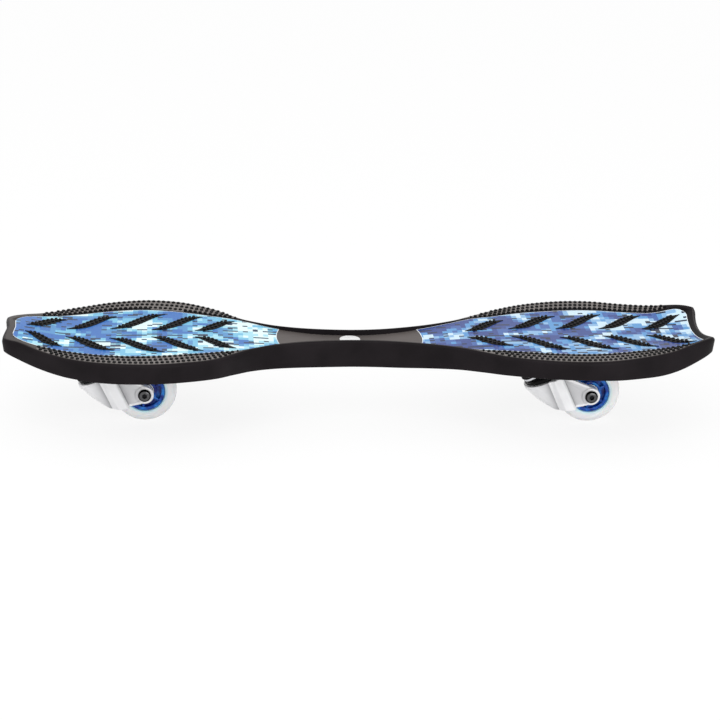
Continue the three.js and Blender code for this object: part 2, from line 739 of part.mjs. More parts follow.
function forkGeometry() {
  const rear = ridgeRear - steeringOffset;
  const outerRings = hoodShares.map(([level, reach, half]) => hoodRing(
    forkRimHeight + level * (crownHeight - forkRimHeight),
    reach * crownRadius,
    half * crownRadius,
    rear,
  ));
  const innerTop = crownHeight - crownThickness;
  const innerRings = hoodShares.map(([level, reach]) => hoodRing(
    level === 0 ? forkRimHeight - cutOverrun : forkRimHeight + level * (innerTop - forkRimHeight),
    reach * crownRadius - hoodWall,
    forkInnerHalf,
    rear + cutOverrun,
  ));
  const hood = loft(outerRings);
  const crown = toSolid(swivelCylinder(crownRadius, crownHeight - crownThickness, crownHeight));
  const side = forkSide();
  const parts = [hood, crown];
  for (const way of [-1, 1]) {
    const from = way > 0 ? forkInnerHalf : -legOuter;
    parts.push(acrossExtrusion(side, from, from + legThickness));
    const boss = new THREE.CylinderGeometry(bossRadius, bossRadius, bossFace - forkInnerHalf, roundFacets);
    boss.translate(0, (way * (bossFace + forkInnerHalf)) / 2, 0);
    parts.push(toSolid(boss));
  }
  const ridge = new THREE.Shape();
  const ridgeOut = crownRadius + ridgeProud;
  const ridgeStart = -steeringOffset + ridgeFront;
  ridge.moveTo(ridgeStart - ridgeFlank, -legOuter);
  ridge.lineTo(ridgeStart, -ridgeOut);
  ridge.lineTo(rear - ridgeBevel, -ridgeOut);
  ridge.lineTo(rear, -ridgeOut + ridgeBevel);
  ridge.lineTo(rear, ridgeOut - ridgeBevel);
  ridge.lineTo(rear - ridgeBevel, ridgeOut);
  ridge.lineTo(ridgeStart, ridgeOut);
  ridge.lineTo(ridgeStart - ridgeFlank, legOuter);
  const ridgeBar = new THREE.ExtrudeGeometry(ridge, { depth: crownHeight + legDrop, bevelEnabled: false });
  ridgeBar.translate(0, 0, -legDrop);
  const flank = acrossExtrusion(side, -2 * crownRadius, 2 * crownRadius);
  parts.push(toSolid(ridgeBar).intersect(flank));
  const wheelRoom = new THREE.CylinderGeometry(
    wheelRadius + wheelClearance,
    wheelRadius + wheelClearance,
    2 * forkInnerHalf,
    wheelFacets,
  );
  const axleHole = new THREE.CylinderGeometry(
    bearingBore + seatGap,
    bearingBore + seatGap,
    4 * bossFace,
    smallFacets,
  );
  const solid = joined(...parts)
    .subtract(loft(innerRings))
    .subtract(toSolid(wheelRoom))
    .subtract(toSolid(axleHole))
    .subtract(toSolid(swivelCylinder(kingpinRadius + runningGap, 0, crownHeight + cutOverrun)));
  return toGeometry(solid);
}

// Screw along the steering axis, head down, with a hexagonal socket
function plateScrew() {
  const shaft = new THREE.CylinderGeometry(screwRadius, screwRadius, screwLength, screwFacets);
  shaft.rotateX(Math.PI / 2);
  shaft.translate(0, 0, plateBottom - seatGap + screwLength / 2);
  const head = new THREE.CylinderGeometry(screwHeadRadius, screwHeadRadius, screwHeadHeight, smallFacets);
  head.rotateX(Math.PI / 2);
  head.translate(0, 0, screwHeadBottom + screwHeadHeight / 2);
  const socket = new THREE.CylinderGeometry(screwSocketRadius, screwSocketRadius, 2 * screwSocketDepth, 6);
  socket.rotateX(Math.PI / 2);
  socket.translate(0, 0, screwHeadBottom);
  return toGeometry(joined(toSolid(head), toSolid(shaft)).subtract(toSolid(socket)));
}

function plateGeometry() {
  const options = { depth: plateThickness, bevelEnabled: false, curveSegments: 3 };
  const slab = new THREE.ExtrudeGeometry(roundedSquare(plateHalf, plateCorner), options);
  slab.translate(-steeringOffset, 0, plateBottom);
  const cuts = [swivelCylinder(kingpinRadius + seatGap, plateBottom - cutOverrun, plateTop + cutOverrun)];
  for (const [u, y] of screwPlaces) {
    const hole = swivelCylinder(screwRadius + seatGap, plateBottom - cutOverrun, plateTop + cutOverrun, screwFacets);
    hole.translate(u + steeringOffset, y, 0);
    cuts.push(hole);
  }
  return toGeometry(toSolid(slab).subtract(joined(...cuts.map(toSolid))));
}

// Kingpin: a flanged bolt from above the plate, through the fork's crown, to its nut
const nutTop = crownHeight - crownThickness - runningGap;
const nutBottom = nutTop - kingpinNutHeight;

function kingpinGeometry() {
  const head = swivelCylinder(kingpinHeadRadius, plateTop + seatGap, plateTop + seatGap + kingpinHeadHeight - seatGap);
  const shaft = swivelCylinder(kingpinRadius, nutBottom - kingpinEnd, plateTop + kingpinHeadHeight / 2);
  return toGeometry(joined(toSolid(head), toSolid(shaft)));
}

function kingpinNutGeometry() {
  const nut = swivelCylinder(kingpinNutRadius, nutBottom, nutTop, 6);
  const hole = swivelCylinder(kingpinRadius + seatGap, nutBottom - cutOverrun, nutTop + cutOverrun);
  return toGeometry(toSolid(nut).subtract(toSolid(hole)));
}

// Ball ring of the swivel: a cage with its balls
function ballRingGeometry() {
  const cage = swivelRing(
    swivelBallCircle - cageHalfWidth,
    swivelBallCircle + cageHalfWidth,
    ballLevel - cageThickness / 2,
    ballLevel + cageThickness / 2,
    smallFacets,
  );
  const balls = [];
  for (let i = 0; i < swivelBalls; i += 1) {
    const angle = (2 * Math.PI * i) / swivelBalls;
    const ball = new THREE.SphereGeometry(swivelBallRadius, ballFacets, ballFacets / 2 + 1);
    ball.translate(
      Math.cos(angle) * swivelBallCircle - steeringOffset,
      Math.sin(angle) * swivelBallCircle,
      ballLevel,
    );
    balls.push(toSolid(ball));
  }
  return toGeometry(joined(toSolid(cage), ...balls));
}

// Wheel: urethane tyre on a spoked hub; the tyre's radii are measured to the middle of its flats
function tyreGeometry() {
  const half = wheelWidth / 2;
  const corner = Math.min(treadRadius, half);
  const profile = [[tyreBore, -half + tyreLip], [tyreBore + tyreLip, -half]];
  const centre = wheelRadius - corner;
  for (const way of [-1, 1]) {
    for (let i = 0; i <= treadSteps; i += 1) {
      const turn = i / treadSteps;
      const angle = (Math.PI / 2) * (way < 0 ? turn : 1 - turn);
      profile.push([centre + Math.sin(angle) * corner, way * (half - corner + Math.cos(angle) * corner)]);
    }
  }
  profile.push([tyreBore + tyreLip, half], [tyreBore, half - tyreLip]);
  const toFlats = 1 / Math.cos(Math.PI / wheelFacets);
  return turnedFlat(turned(profile.map(([radius, y]) => [radius * toFlats, y]), wheelFacets));
}

const hubRadius = tyreBore - seatGap;
const bearingSeat = bearingRadius + seatGap;

function hubGeometry() {
  const half = hubWidth / 2;
  const rimInner = hubRadius - hubRim;
  const collarOuter = bearingSeat + hubCollar;
  const web = hubWeb / 2;
  const ledge = bearingSeat - bearingOuterWall * 0.6;
  const shelf = half - bearingWidth - seatGap;
  const profile = [
    [bearingSeat, -half], [collarOuter, -half], [collarOuter, -web], [rimInner, -web], [rimInner, -half],
    [hubRadius, -half], [hubRadius, half], [rimInner, half], [rimInner, web], [collarOuter, web],
    [collarOuter, half], [bearingSeat, half], [bearingSeat, shelf], [ledge, shelf], [ledge, -shelf],
    [bearingSeat, -shelf],
  ];
  const body = toSolid(turned(profile, hubFacets));
  const spokes = [];
  for (let i = 0; i < hubSpokes; i += 1) {
    const spoke = new THREE.BoxGeometry(
      rimInner - collarOuter + hubRim / 2 + hubCollar / 2,
      hubWidth - 2 * spokeRecess,
      spokeThickness,
    );
    spoke.translate((rimInner + collarOuter + (hubRim - hubCollar) / 4) / 2, 0, 0);
    spoke.rotateY((2 * Math.PI * i) / hubSpokes);
    spokes.push(toSolid(spoke));
  }
  return toGeometry(joined(body, ...spokes));
}

// Wheel bearing: inner and outer rings, and a ring of balls between them
function bearingBalls(centreY) {
  const inner = bearingBore + bearingInnerWall;
  const outer = bearingRadius - bearingOuterWall;
  const circle = (inner + outer) / 2;
  const half = bearingWidth / 2 - bearingBallInset;
  return turnedFlat(turned(ringProfile(
    circle - bearingBallRadius + ballRingGap,
    circle + bearingBallRadius - ballRingGap,
    centreY - half,
    centreY + half,
  ), smallFacets));
}

const spacerInnerEnd = hubWidth / 2 + seatGap;
const spacerOuterEnd = forkInnerHalf - seatGap;

function axleBoltGeometry() {
  const headFace = bossFace + seatGap + axleHeadHeight;
  const tail = bossFace + seatGap + axleNutHeight + axleEnd;
  const shaft = new THREE.CylinderGeometry(
    bearingBore - seatGap,
    bearingBore - seatGap,
    tail + bossFace + seatGap + axleHeadHeight / 2,
    smallFacets,
  );
  shaft.translate(0, (tail - bossFace - seatGap - axleHeadHeight / 2) / 2, 0);
  const bevel = axleHeadHeight / 3;
  const head = turned([
    [0, -headFace],
    [axleHeadRadius - bevel, -headFace],
    [axleHeadRadius, -headFace + bevel],
    [axleHeadRadius, -bossFace - seatGap],
    [0, -bossFace - seatGap],
  ], roundFacets);
  const socket = new THREE.CylinderGeometry(axleSocketRadius, axleSocketRadius, 2 * axleSocketDepth, 6);
  socket.translate(0, -headFace, 0);
  return toGeometry(joined(toSolid(shaft), toSolid(head)).subtract(toSolid(socket)));
}

function axleNutGeometry() {
  const start = bossFace + seatGap;
  const nut = new THREE.CylinderGeometry(axleNutRadius, axleNutRadius, axleNutHeight, 6);
  nut.translate(0, start + axleNutHeight / 2, 0);
  const hole = new THREE.CylinderGeometry(bearingBore, bearingBore, 4 * axleNutHeight, smallFacets);
  hole.translate(0, start + axleNutHeight / 2, 0);
  return toGeometry(toSolid(nut).subtract(toSolid(hole)));
}

function named(name, geometry, material) {
  const mesh = new THREE.Mesh(geometry, material);
  mesh.name = name;
  return mesh;
}

// One caster, standing upright on its wheel at the given place along the board
function caster(prefix, axleX) {
  const group = new THREE.Group();
  group.applyMatrix4(casterMatrix(axleX));
  const put = (name, geometry, material) => group.add(named(`${prefix}_${name}`, geometry, material));

  put('mount_plate', plateGeometry(), materials.steel);
  screwPlaces.forEach(([u, y], i) => {
    const screw = named(`${prefix}_plate_screw_${i + 1}`, plateScrew(), materials.blackSteel);
    screw.position.set(u, y, 0);
    group.add(screw);
  });
  put('kingpin', kingpinGeometry(), materials.steel);
  put('kingpin_nut', kingpinNutGeometry(), materials.steel);
  const bore = kingpinRadius + runningGap;
  const race = (low, high) => turnedFlat(swivelRing(bore, raceRadius, low, high, smallFacets));
  put('upper_race', race(upperRaceBottom, upperRaceTop), materials.steel);
  put('lower_race', race(lowerRaceBottom, lowerRaceTop), materials.steel);
  put('swivel_ball_ring', ballRingGeometry(), materials.steel);
  const dustInner = raceRadius + seatGap;
  const dustTop = screwHeadBottom - seatGap;
  const dustRing = swivelRing(dustInner, dustInner + dustRingWall, crownHeight + runningGap, dustTop);
  put('dust_ring', turnedFlat(dustRing), materials.blackPlastic);
  put('caster_fork', forkGeometry(), materials.cast);
  put('axle_bolt', axleBoltGeometry(), materials.blackSteel);
  put('axle_nut', axleNutGeometry(), materials.steel);

  const wheel = new THREE.Group();
  wheel.rotation.y = casterLean + Math.PI / wheelFacets;
  group.add(wheel);
  const fit = (name, geometry, material) => wheel.add(named(`${prefix}_${name}`, geometry, material));
  fit('wheel_tyre', tyreGeometry(), materials.urethane);
  fit('wheel_hub', hubGeometry(), materials.hub);
  const tube = (inner, outer, low, high) => turnedFlat(turned(ringProfile(inner, outer, low, high), smallFacets));
  for (const [word, way] of [['near', -1], ['far', 1]]) {
    const centre = way * bearingCentre;
    const low = centre - bearingWidth / 2;
    const high = centre + bearingWidth / 2;
    fit(
      `bearing_outer_${word}`,
      tube(bearingRadius - bearingOuterWall, bearingRadius, low, high),
      materials.steel,
    );
    fit(
      `bearing_inner_${word}`,
      tube(bearingBore, bearingBore + bearingInnerWall, low, high),
      materials.steel,
    );
    fit(`bearing_balls_${word}`, bearingBalls(centre), materials.blackPlastic);
    const ends = [way * spacerInnerEnd, way * spacerOuterEnd].sort((a, b) => a - b);
    fit(`axle_spacer_${word}`, tube(bearingBore, axleSpacerRadius, ends[0], ends[1]), materials.steel);
  }
  const spacerHalf = bearingCentre - bearingWidth / 2 - seatGap;
  fit('bearing_spacer', tube(bearingBore, bearingBore + bearingSpacerWall, -spacerHalf, spacerHalf), materials.steel);
  return group;
}

// White badge in a shallow seat at the waist, carried by the front half
function badgeGeometry() {
  const disc = new THREE.CylinderGeometry(badgeRadius, badgeRadius, badgeThickness, roundFacets);
  disc.rotateX(Math.PI / 2);
  return disc;
}

const board = new THREE.Group();
const frontFace = waistPlace - waistGap / 2;
const rearFace = waistPlace + waistGap / 2;
const frontDeck = deckHalf(frontStationShares, frontFace, frontAxleX, frontLeaves);
const rearDeck = deckHalf(rearStationShares, rearFace, rearAxleX, rearLeaves);
board.add(named('deck_front_half', toGeometry(frontDeck), materials.deck));
board.add(named('deck_rear_half', toGeometry(rearDeck), materials.deck));

const frontFilmX = waistPlace - frontFilmEnd;
const rearFilmX = waistPlace + rearFilmEnd;
const noseFilmX = -halfLength + noseBorder;
const tailFilmX = halfLength - tailBorder;
const frontFilm = filmSolid(noseFilmX, frontFilmX, frontStationShares, frontFilmX, frontLeaves);
const rearFilm = filmSolid(rearFilmX, tailFilmX, rearStationShares, rearFilmX, rearLeaves);
board.add(named('front_graphic_film', toGeometry(frontFilm), materials.film));
board.add(named('rear_graphic_film', toGeometry(rearFilm), materials.film));

const badgeX = waistPlace - badgeRadius - runningGap;
const badge = named('centre_badge', badgeGeometry(), materials.badge);
badge.position.set(badgeX, 0, floorHeight(badgeX, 0) + seatGap + badgeThickness / 2 + badgeDepth);
board.add(badge);

board.add(caster('front', frontAxleX));
board.add(caster('rear', rearAxleX));

export default board;
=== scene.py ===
import math
import re

import bmesh
import bpy
from mathutils import Matrix, Vector


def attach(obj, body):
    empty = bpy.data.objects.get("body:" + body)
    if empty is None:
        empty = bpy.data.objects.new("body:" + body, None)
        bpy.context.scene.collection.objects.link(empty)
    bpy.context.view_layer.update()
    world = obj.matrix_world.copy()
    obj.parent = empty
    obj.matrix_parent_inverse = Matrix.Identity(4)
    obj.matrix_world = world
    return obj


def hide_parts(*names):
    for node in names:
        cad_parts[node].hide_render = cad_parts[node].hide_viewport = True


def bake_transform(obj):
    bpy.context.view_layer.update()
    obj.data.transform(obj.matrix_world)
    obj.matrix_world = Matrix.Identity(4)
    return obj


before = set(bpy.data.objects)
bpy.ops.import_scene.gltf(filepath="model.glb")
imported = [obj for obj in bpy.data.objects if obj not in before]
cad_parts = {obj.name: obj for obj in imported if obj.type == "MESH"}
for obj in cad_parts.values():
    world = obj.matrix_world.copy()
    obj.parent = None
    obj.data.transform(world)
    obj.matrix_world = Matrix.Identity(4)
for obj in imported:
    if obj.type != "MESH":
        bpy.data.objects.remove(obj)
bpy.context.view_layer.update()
print("frame loaded:", len(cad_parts), "nodes")

mm = 0.001
tau = 2 * math.pi


def lengths(**sizes):
    # A dictionary of sizes given in millimetres
    return {key: size * mm for key, size in sizes.items()}


# Small helpers for meshes

def linked(name, data):
    thing = bpy.data.objects.new(name, data)
    bpy.context.scene.collection.objects.link(thing)
    return thing


def finishMesh(name, bm, materials, sharpDegrees=35):
    bmesh.ops.recalc_face_normals(bm, faces=bm.faces)
    mesh = bpy.data.meshes.new(name)
    bm.to_mesh(mesh)
    bm.free()
    for material in materials:
        mesh.materials.append(material)
    mesh.shade_smooth()
    mesh.set_sharp_from_angle(angle=math.radians(sharpDegrees))
    return linked(name, mesh)


def merge(bm, distance):
    bmesh.ops.remove_doubles(bm, verts=bm.verts, dist=distance)


def facesOf(verts):
    return list(dict.fromkeys(f for v in verts for f in v.link_faces))


def thicken(bm, faces):
    # Extrudes faces in place, and gives the new vertices for a move
    made = bmesh.ops.extrude_face_region(bm, geom=faces)["geom"]
    return [v for v in made if isinstance(v, bmesh.types.BMVert)]


def numberedGrid(bm, xSegments, ySegments):
    # Each vertex of a fresh grid with its station and its column
    verts = bmesh.ops.create_grid(bm, x_segments=xSegments, y_segments=ySegments, size=1)["verts"]
    return [(v, round((v.co.x + 1) / 2 * xSegments), round((v.co.y + 1) / 2 * ySegments)) for v in verts]


def boundaryLoop(bm):
    loop = [next(e for e in bm.edges if e.is_boundary).verts[0]]
    previous = None
    while True:
        here = loop[-1]
        around = (e.other_vert(here) for e in here.link_edges if e.is_boundary)
        following = next(v for v in around if v is not previous)
        if following is loop[0]:
            return loop
        previous = here
        loop.append(following)


def growRings(bm, loop, place, steps):
    # Extrudes a loop once for each step; place gives vertex number i its place at a step
    for step in steps:
        edges = [bm.edges.get(pair) for pair in zip(loop, loop[1:] + loop[:1])]
        made = set(bmesh.ops.extrude_edge_only(bm, edges=edges)["geom"])
        loop = [next(e.other_vert(v) for e in v.link_edges if e.other_vert(v) in made) for v in loop]
        for i, v in enumerate(loop):
            v.co = place(i, step)
    return loop


def loopNormals(points):
    # Outward directions in plan, for a loop of points round a piece
    area = sum(a.x * b.y - b.x * a.y for a, b in zip(points, points[1:] + points[:1]))
    turn = 1 if area > 0 else -1
    normals = []
    for i in range(len(points)):
        along = (points[(i + 1) % len(points)] - points[i - 1]).to_2d()
        normals.append(Vector((along.y * turn, -along.x * turn, 0)).normalized())
    return normals


def curve(start, bend, end, t):
    return start * (1 - t) ** 2 + bend * 2 * t * (1 - t) + end * t * t


def rounded(points, radius, steps=3, reachShare=0.45):
    # A closed profile with its corners rounded
    made = []
    for i, point in enumerate(points):
        corner = Vector(point)
        before = Vector(points[i - 1]) - corner
        after = Vector(points[(i + 1) % len(points)]) - corner
        reach = min(radius, before.length * reachShare, after.length * reachShare)
        start = corner + before.normalized() * reach
        end = corner + after.normalized() * reach
        made += [curve(start, corner, end, k / steps) for k in range(steps + 1)]
    return made


def spunMesh(profile, matrix, steps, closed=True, weld=0.004 * mm):
    # A profile of (radius, height) pairs turned about Z, then put in place
    bm = bmesh.new()
    verts = [bm.verts.new((r, 0, h)) for r, h in profile]
    pairs = list(zip(verts, verts[1:])) + ([(verts[-1], verts[0])] if closed else [])
    edges = [bm.edges.new(pair) for pair in pairs]
    bmesh.ops.spin(
        bm, geom=verts + edges, cent=(0, 0, 0), axis=(0, 0, 1), angle=tau, steps=steps, use_merge=True,
    )
    bmesh.ops.transform(bm, matrix=matrix, verts=bm.verts)
    merge(bm, weld)
    return bm


# Nodes of a material

class Nodes:
    # Adds nodes to a tree with few words
    def __init__(self, tree):
        self.tree = tree

    def link(self, output, socket):
        self.tree.links.new(output, socket)

    def add(self, kind, inputs=(), **properties):
        node = self.tree.nodes.new(kind)
        for key, value in properties.items():
            setattr(node, key, value)
        for key, value in dict(inputs).items():
            if isinstance(value, bpy.types.NodeSocket):
                self.link(value, node.inputs[key])
            else:
                node.inputs[key].default_value = value
        return node

    def math(self, operation, a, b):
        return self.add("ShaderNodeMath", {0: a, 1: b}, operation=operation).outputs[0]

    def vectorMath(self, operation, a, b):
        return self.add("ShaderNodeVectorMath", {0: a, 1: b}, operation=operation).outputs[0]

    def attribute(self, name):
        return self.add("ShaderNodeAttribute", attribute_name=name).outputs["Fac"]

    def noise(self, vector, scale, detail=2.0, roughness=0.5):
        inputs = {"Vector": vector, "Scale": scale, "Detail": detail, "Roughness": roughness}
        return self.add("ShaderNodeTexNoise", inputs).outputs["Fac"]

    def ramp(self, factor, stops, interpolation="LINEAR"):
        node = self.add("ShaderNodeValToRGB", {"Fac": factor})
        ramp = node.color_ramp
        ramp.interpolation = interpolation
        while len(ramp.elements) < len(stops):
            ramp.elements.new(0.5)
        for element, (place, color) in zip(ramp.elements, stops):
            element.position = place
            element.color = (*color, 1)
        return node.outputs["Color"]

    def mapRange(self, value, low, high, fromLow=0.0, fromHigh=1.0):
        inputs = {"Value": value, "From Min": fromLow, "From Max": fromHigh, "To Min": low, "To Max": high}
        return self.add("ShaderNodeMapRange", inputs).outputs["Result"]

    def mix(self, factor, a, color):
        return self.add("ShaderNodeMix", {0: factor, 6: a, 7: (*color, 1)}, data_type="RGBA").outputs[2]


class Finish(Nodes):
    # A material whose colour, roughness and relief come from nodes
    def __init__(self, name, color, roughness, metallic=0.0, **sockets):
        self.material = bpy.data.materials.new(name)
        self.material.use_nodes = True
        super().__init__(self.material.node_tree)
        self.shader = self.tree.nodes["Principled BSDF"].inputs
        self.place = self.add("ShaderNodeTexCoord").outputs["Object"]
        plain = {"Base Color": (*color, 1), "Roughness": roughness, "Metallic": metallic, **sockets}
        for socket, value in plain.items():
            self.shader[socket].default_value = value

    def color(self, output):
        self.link(output, self.shader["Base Color"])

    def varyRoughness(self, factor, low, high):
        self.link(self.mapRange(factor, low, high), self.shader["Roughness"])

    def bump(self, height, strength, depth):
        # The depth is in millimetres
        inputs = {"Height": height, "Strength": strength, "Distance": depth * mm}
        self.link(self.add("ShaderNodeBump", inputs).outputs["Normal"], self.shader["Normal"])


# Finishes

def mouldedPlastic(name, color, roughness=0.45, grain=900, depth=0.06, lift=1.6, specular=0.4):
    finish = Finish(name, color, roughness, **{"Specular IOR Level": specular})
    cloud = finish.noise(finish.place, scale=26, detail=4)
    pale = tuple(c * lift for c in color)
    finish.color(finish.ramp(cloud, [(0.35, color), (0.75, pale)]))
    finish.varyRoughness(cloud, low=roughness - 0.06, high=roughness + 0.08)
    finish.bump(finish.noise(finish.place, scale=grain, detail=3), strength=0.35, depth=depth)
    return finish.material


def castMetal():
    # Bright on the ridges; where the shade attribute says, painted shade mixes the colour towards dark grey
    # in the leg webs and where the hood meets the ridge
    finish = Finish("castAlloyFinish", (0.9, 0.9, 0.92), roughness=0.3, metallic=0.15)
    cloud = finish.noise(finish.place, scale=60, detail=4)
    bright = finish.ramp(cloud, [(0.3, (0.88, 0.88, 0.9)), (0.7, (0.96, 0.96, 0.97))])
    # The dark grey mixed in here is painted shade, not a colour of the alloy
    finish.color(finish.mix(finish.attribute("shade"), bright, (0.2, 0.2, 0.215)))
    finish.varyRoughness(cloud, low=0.24, high=0.38)
    finish.bump(finish.noise(finish.place, scale=420, detail=3), strength=0.25, depth=0.08)
    return finish.material


def brushedSteel(name, color, roughness, stretch=(1, 1, 30)):
    finish = Finish(name, color, roughness, metallic=1.0)
    place = finish.add("ShaderNodeMapping", {"Vector": finish.place, "Scale": stretch}).outputs["Vector"]
    streak = finish.noise(place, scale=160, detail=5)
    dark = tuple(c * 0.82 for c in color)
    finish.color(finish.ramp(streak, [(0.3, dark), (0.7, color)]))
    finish.varyRoughness(streak, low=roughness - 0.08, high=roughness + 0.1)
    finish.bump(streak, strength=0.12, depth=0.03)
    return finish.material


def blackScrew(name, color):
    finish = Finish(name, color, roughness=0.16, metallic=1.0)
    cloud = finish.noise(finish.place, scale=300, detail=3)
    pale = tuple(c * 1.3 for c in color)
    finish.color(finish.ramp(cloud, [(0.4, color), (0.8, pale)]))
    finish.varyRoughness(cloud, low=0.08, high=0.18)
    return finish.material


def castUrethane():
    # Paler towards the tread; close to the hub, a painted glow of cyan stands in for the blue hub's light
    # coming through the urethane
    finish = Finish("urethaneFinish", (0.96, 0.97, 0.98), roughness=0.22, **{
        "Transmission Weight": 0.1, "IOR": 1.45, "Subsurface Weight": 0.35,
        "Subsurface Radius": (0.006, 0.008, 0.01), "Subsurface Scale": 0.5,
    })
    paintedHubGlow = [
        (0, (0.5, 0.84, 0.98)), (0.14, (0.78, 0.95, 0.99)), (0.32, (0.96, 0.975, 0.985)),
        (1, (0.97, 0.96, 0.965)),
    ]
    finish.color(finish.ramp(finish.attribute("fromHub"), paintedHubGlow))
    finish.bump(finish.noise(finish.place, scale=140, detail=3), strength=0.1, depth=0.1)
    return finish.material


def blueNylon():
    finish = Finish("hubFinish", (0.004, 0.06, 0.32), roughness=0.22, **{"Specular IOR Level": 0.3})
    blues = [(0.35, (0.002, 0.01, 0.17)), (0.5, (0.008, 0.07, 0.38)), (0.65, (0.02, 0.22, 0.66))]
    finish.color(finish.ramp(finish.noise(finish.place, scale=110, detail=2), blues))
    return finish.material


# Cells and patches are in millimetres, along and across
camouflage = {
    "cell": (6, 8),
    "largePatch": (46, 44),
    "smallPatch": (22, 17),
    "largeShare": 0.62,
    "levels": (0, 0.455, 0.495, 0.535, 0.57),
    "drift": 0.05,
    "dashCell": (6, 4),
    "dashPatch": (20, 5),
    "dashAbove": 0.6,
    "margin": 0.8,
    "marginColor": (0.86, 0.92, 0.95),
}


def printedFilm(name, dyes, seed, span):
    # Block camouflage on a grid of cells, with fine dashes and a white margin
    finish = Finish(name, dyes[0], roughness=0.3, **{"Specular IOR Level": 0.2})

    def cells(size):
        return finish.vectorMath("SNAP", finish.place, (size[0] * mm, size[1] * mm, 10))

    def blocks(grid, patch, offset):
        stretched = finish.vectorMath("MULTIPLY", grid, (1 / (patch[0] * mm), 1 / (patch[1] * mm), 0))
        moved = finish.vectorMath("ADD", stretched, (seed + offset, seed * 2 - offset, 0))
        return finish.noise(moved, scale=1, detail=1.5, roughness=0.6)

    coarse = cells(camouflage["cell"])
    share = camouflage["largeShare"]
    large = finish.math("MULTIPLY", blocks(coarse, camouflage["largePatch"], 0.0), share)
    small = finish.math("MULTIPLY", blocks(coarse, camouflage["smallPatch"], 3.1), 1 - share)
    # Deeper at the film's left end, paler at its right
    x = finish.add("ShaderNodeSeparateXYZ", {0: coarse}).outputs["X"]
    drift = finish.mapRange(x, -camouflage["drift"], camouflage["drift"], *span)
    both = finish.math("ADD", finish.math("ADD", large, small), drift)
    color = finish.ramp(both, list(zip(camouflage["levels"], dyes)), "CONSTANT")
    fine = blocks(cells(camouflage["dashCell"]), camouflage["dashPatch"], 7.7)
    color = finish.mix(finish.math("GREATER_THAN", fine, camouflage["dashAbove"]), color, dyes[-1])
    margin = finish.math("LESS_THAN", finish.attribute("fromEdge"), camouflage["margin"])
    finish.color(finish.mix(margin, color, camouflage["marginColor"]))
    finish.bump(finish.noise(finish.place, scale=700, detail=3), strength=0.12, depth=0.04)
    return finish.material


finishes = {
    "deck": mouldedPlastic("deckPlasticFinish", (0.0085, 0.0068, 0.0078), specular=0.06),
    # The edge's colour, lighter than the deck's black, is a painted highlight along the round edge
    "edge": mouldedPlastic("edgeFinish", (0.024, 0.02, 0.02), specular=0.15),
    # The grip field is the deck's black plastic painted grey: painted sheen on the strip's top
    "grip": mouldedPlastic("gripFieldFinish", (0.185, 0.17, 0.163), 0.6, 1100, 0.1, 1.3, 0.15),
    "pad": mouldedPlastic("gripPadFinish", (0.011, 0.0105, 0.011), 0.6, 1100, 0.1, 1.3, 0.1),
    "spike": mouldedPlastic("spikeFinish", (0.003, 0.003, 0.0035), 0.5, 1500, 0.03, 1.4, 0.08),
    # The channel is the deck's black plastic painted grey: painted sheen on the recess floor
    "channel": mouldedPlastic("channelFinish", (0.092, 0.08, 0.076), 0.5, 1000, 0.05, 1.3, 0.2),
    "black": mouldedPlastic("blackPlasticFinish", (0.004, 0.004, 0.0045), 0.5, specular=0.08),
    # The nose rim is the deck's black plastic painted grey: painted sheen on the nose's top
    "nose": mouldedPlastic("noseRimFinish", (0.058, 0.051, 0.048), 0.5, 1000, 0.05, 1.3, 0.2),
    "frontFilm": printedFilm("frontFilmFinish", (
        (0.028, 0.15, 0.48), (0.075, 0.27, 0.56), (0.17, 0.5, 0.73),
        (0.38, 0.71, 0.83), (0.74, 0.93, 0.95), (0.006, 0.028, 0.08),
    ), 1.37, (-0.4, -0.1)),
    "rearFilm": printedFilm("rearFilmFinish", (
        (0.022, 0.055, 0.25), (0.045, 0.12, 0.38), (0.09, 0.3, 0.62),
        (0.25, 0.46, 0.72), (0.6, 0.78, 0.9), (0.004, 0.012, 0.045),
    ), 4.91, (0.07, 0.4)),
    "badge": mouldedPlastic("badgeFinish", (0.8, 0.8, 0.8), 0.3, 600, 0.02, 1.05, 0.5),
    "cast": castMetal(),
    "zinc": brushedSteel("zincSteelFinish", (0.7, 0.71, 0.74), 0.3),
    "bearing": brushedSteel("bearingSteelFinish", (0.62, 0.63, 0.66), 0.22, (30, 1, 30)),
    "screw": blackScrew("blackSteelFinish", (0.012, 0.012, 0.013)),
    "polish": blackScrew("polishedSteelFinish", (0.09, 0.09, 0.093)),
    "urethane": castUrethane(),
    "hub": blueNylon(),
}
print("finishes made:", len(finishes))

otherWords = {
    "Shield": "Balls", "Tyre": "WheelTyre", "Hub": "WheelHub", "Fork": "CasterFork", "Film": "GraphicFilm",
}


def nodeName(name):
    # frontAxleBolt stands for front_axle_bolt, and frontTyre for front_wheel_tyre
    for word, other in otherWords.items():
        name = name.replace(word, other)
    return re.sub(r"[A-Z]|\d+", lambda found: "_" + found.group().lower(), name)


def declare(piece, key, body=None, nodes=None):
    # What a piece rides on and the nodes that it stands for; its material key is not used
    if body:
        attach(piece, body)
    nodes = [nodeName(piece.name)] if nodes is None else nodes
    if nodes:
        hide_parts(*nodes)
    return piece


def dress(name, bm, keys, body=None, nodes=None, sharpDegrees=35):
    piece = finishMesh(name, bm, [finishes[key] for key in keys], sharpDegrees)
    return declare(piece, keys[0], body, nodes)


# The deck's form, the same shares as the solids follow

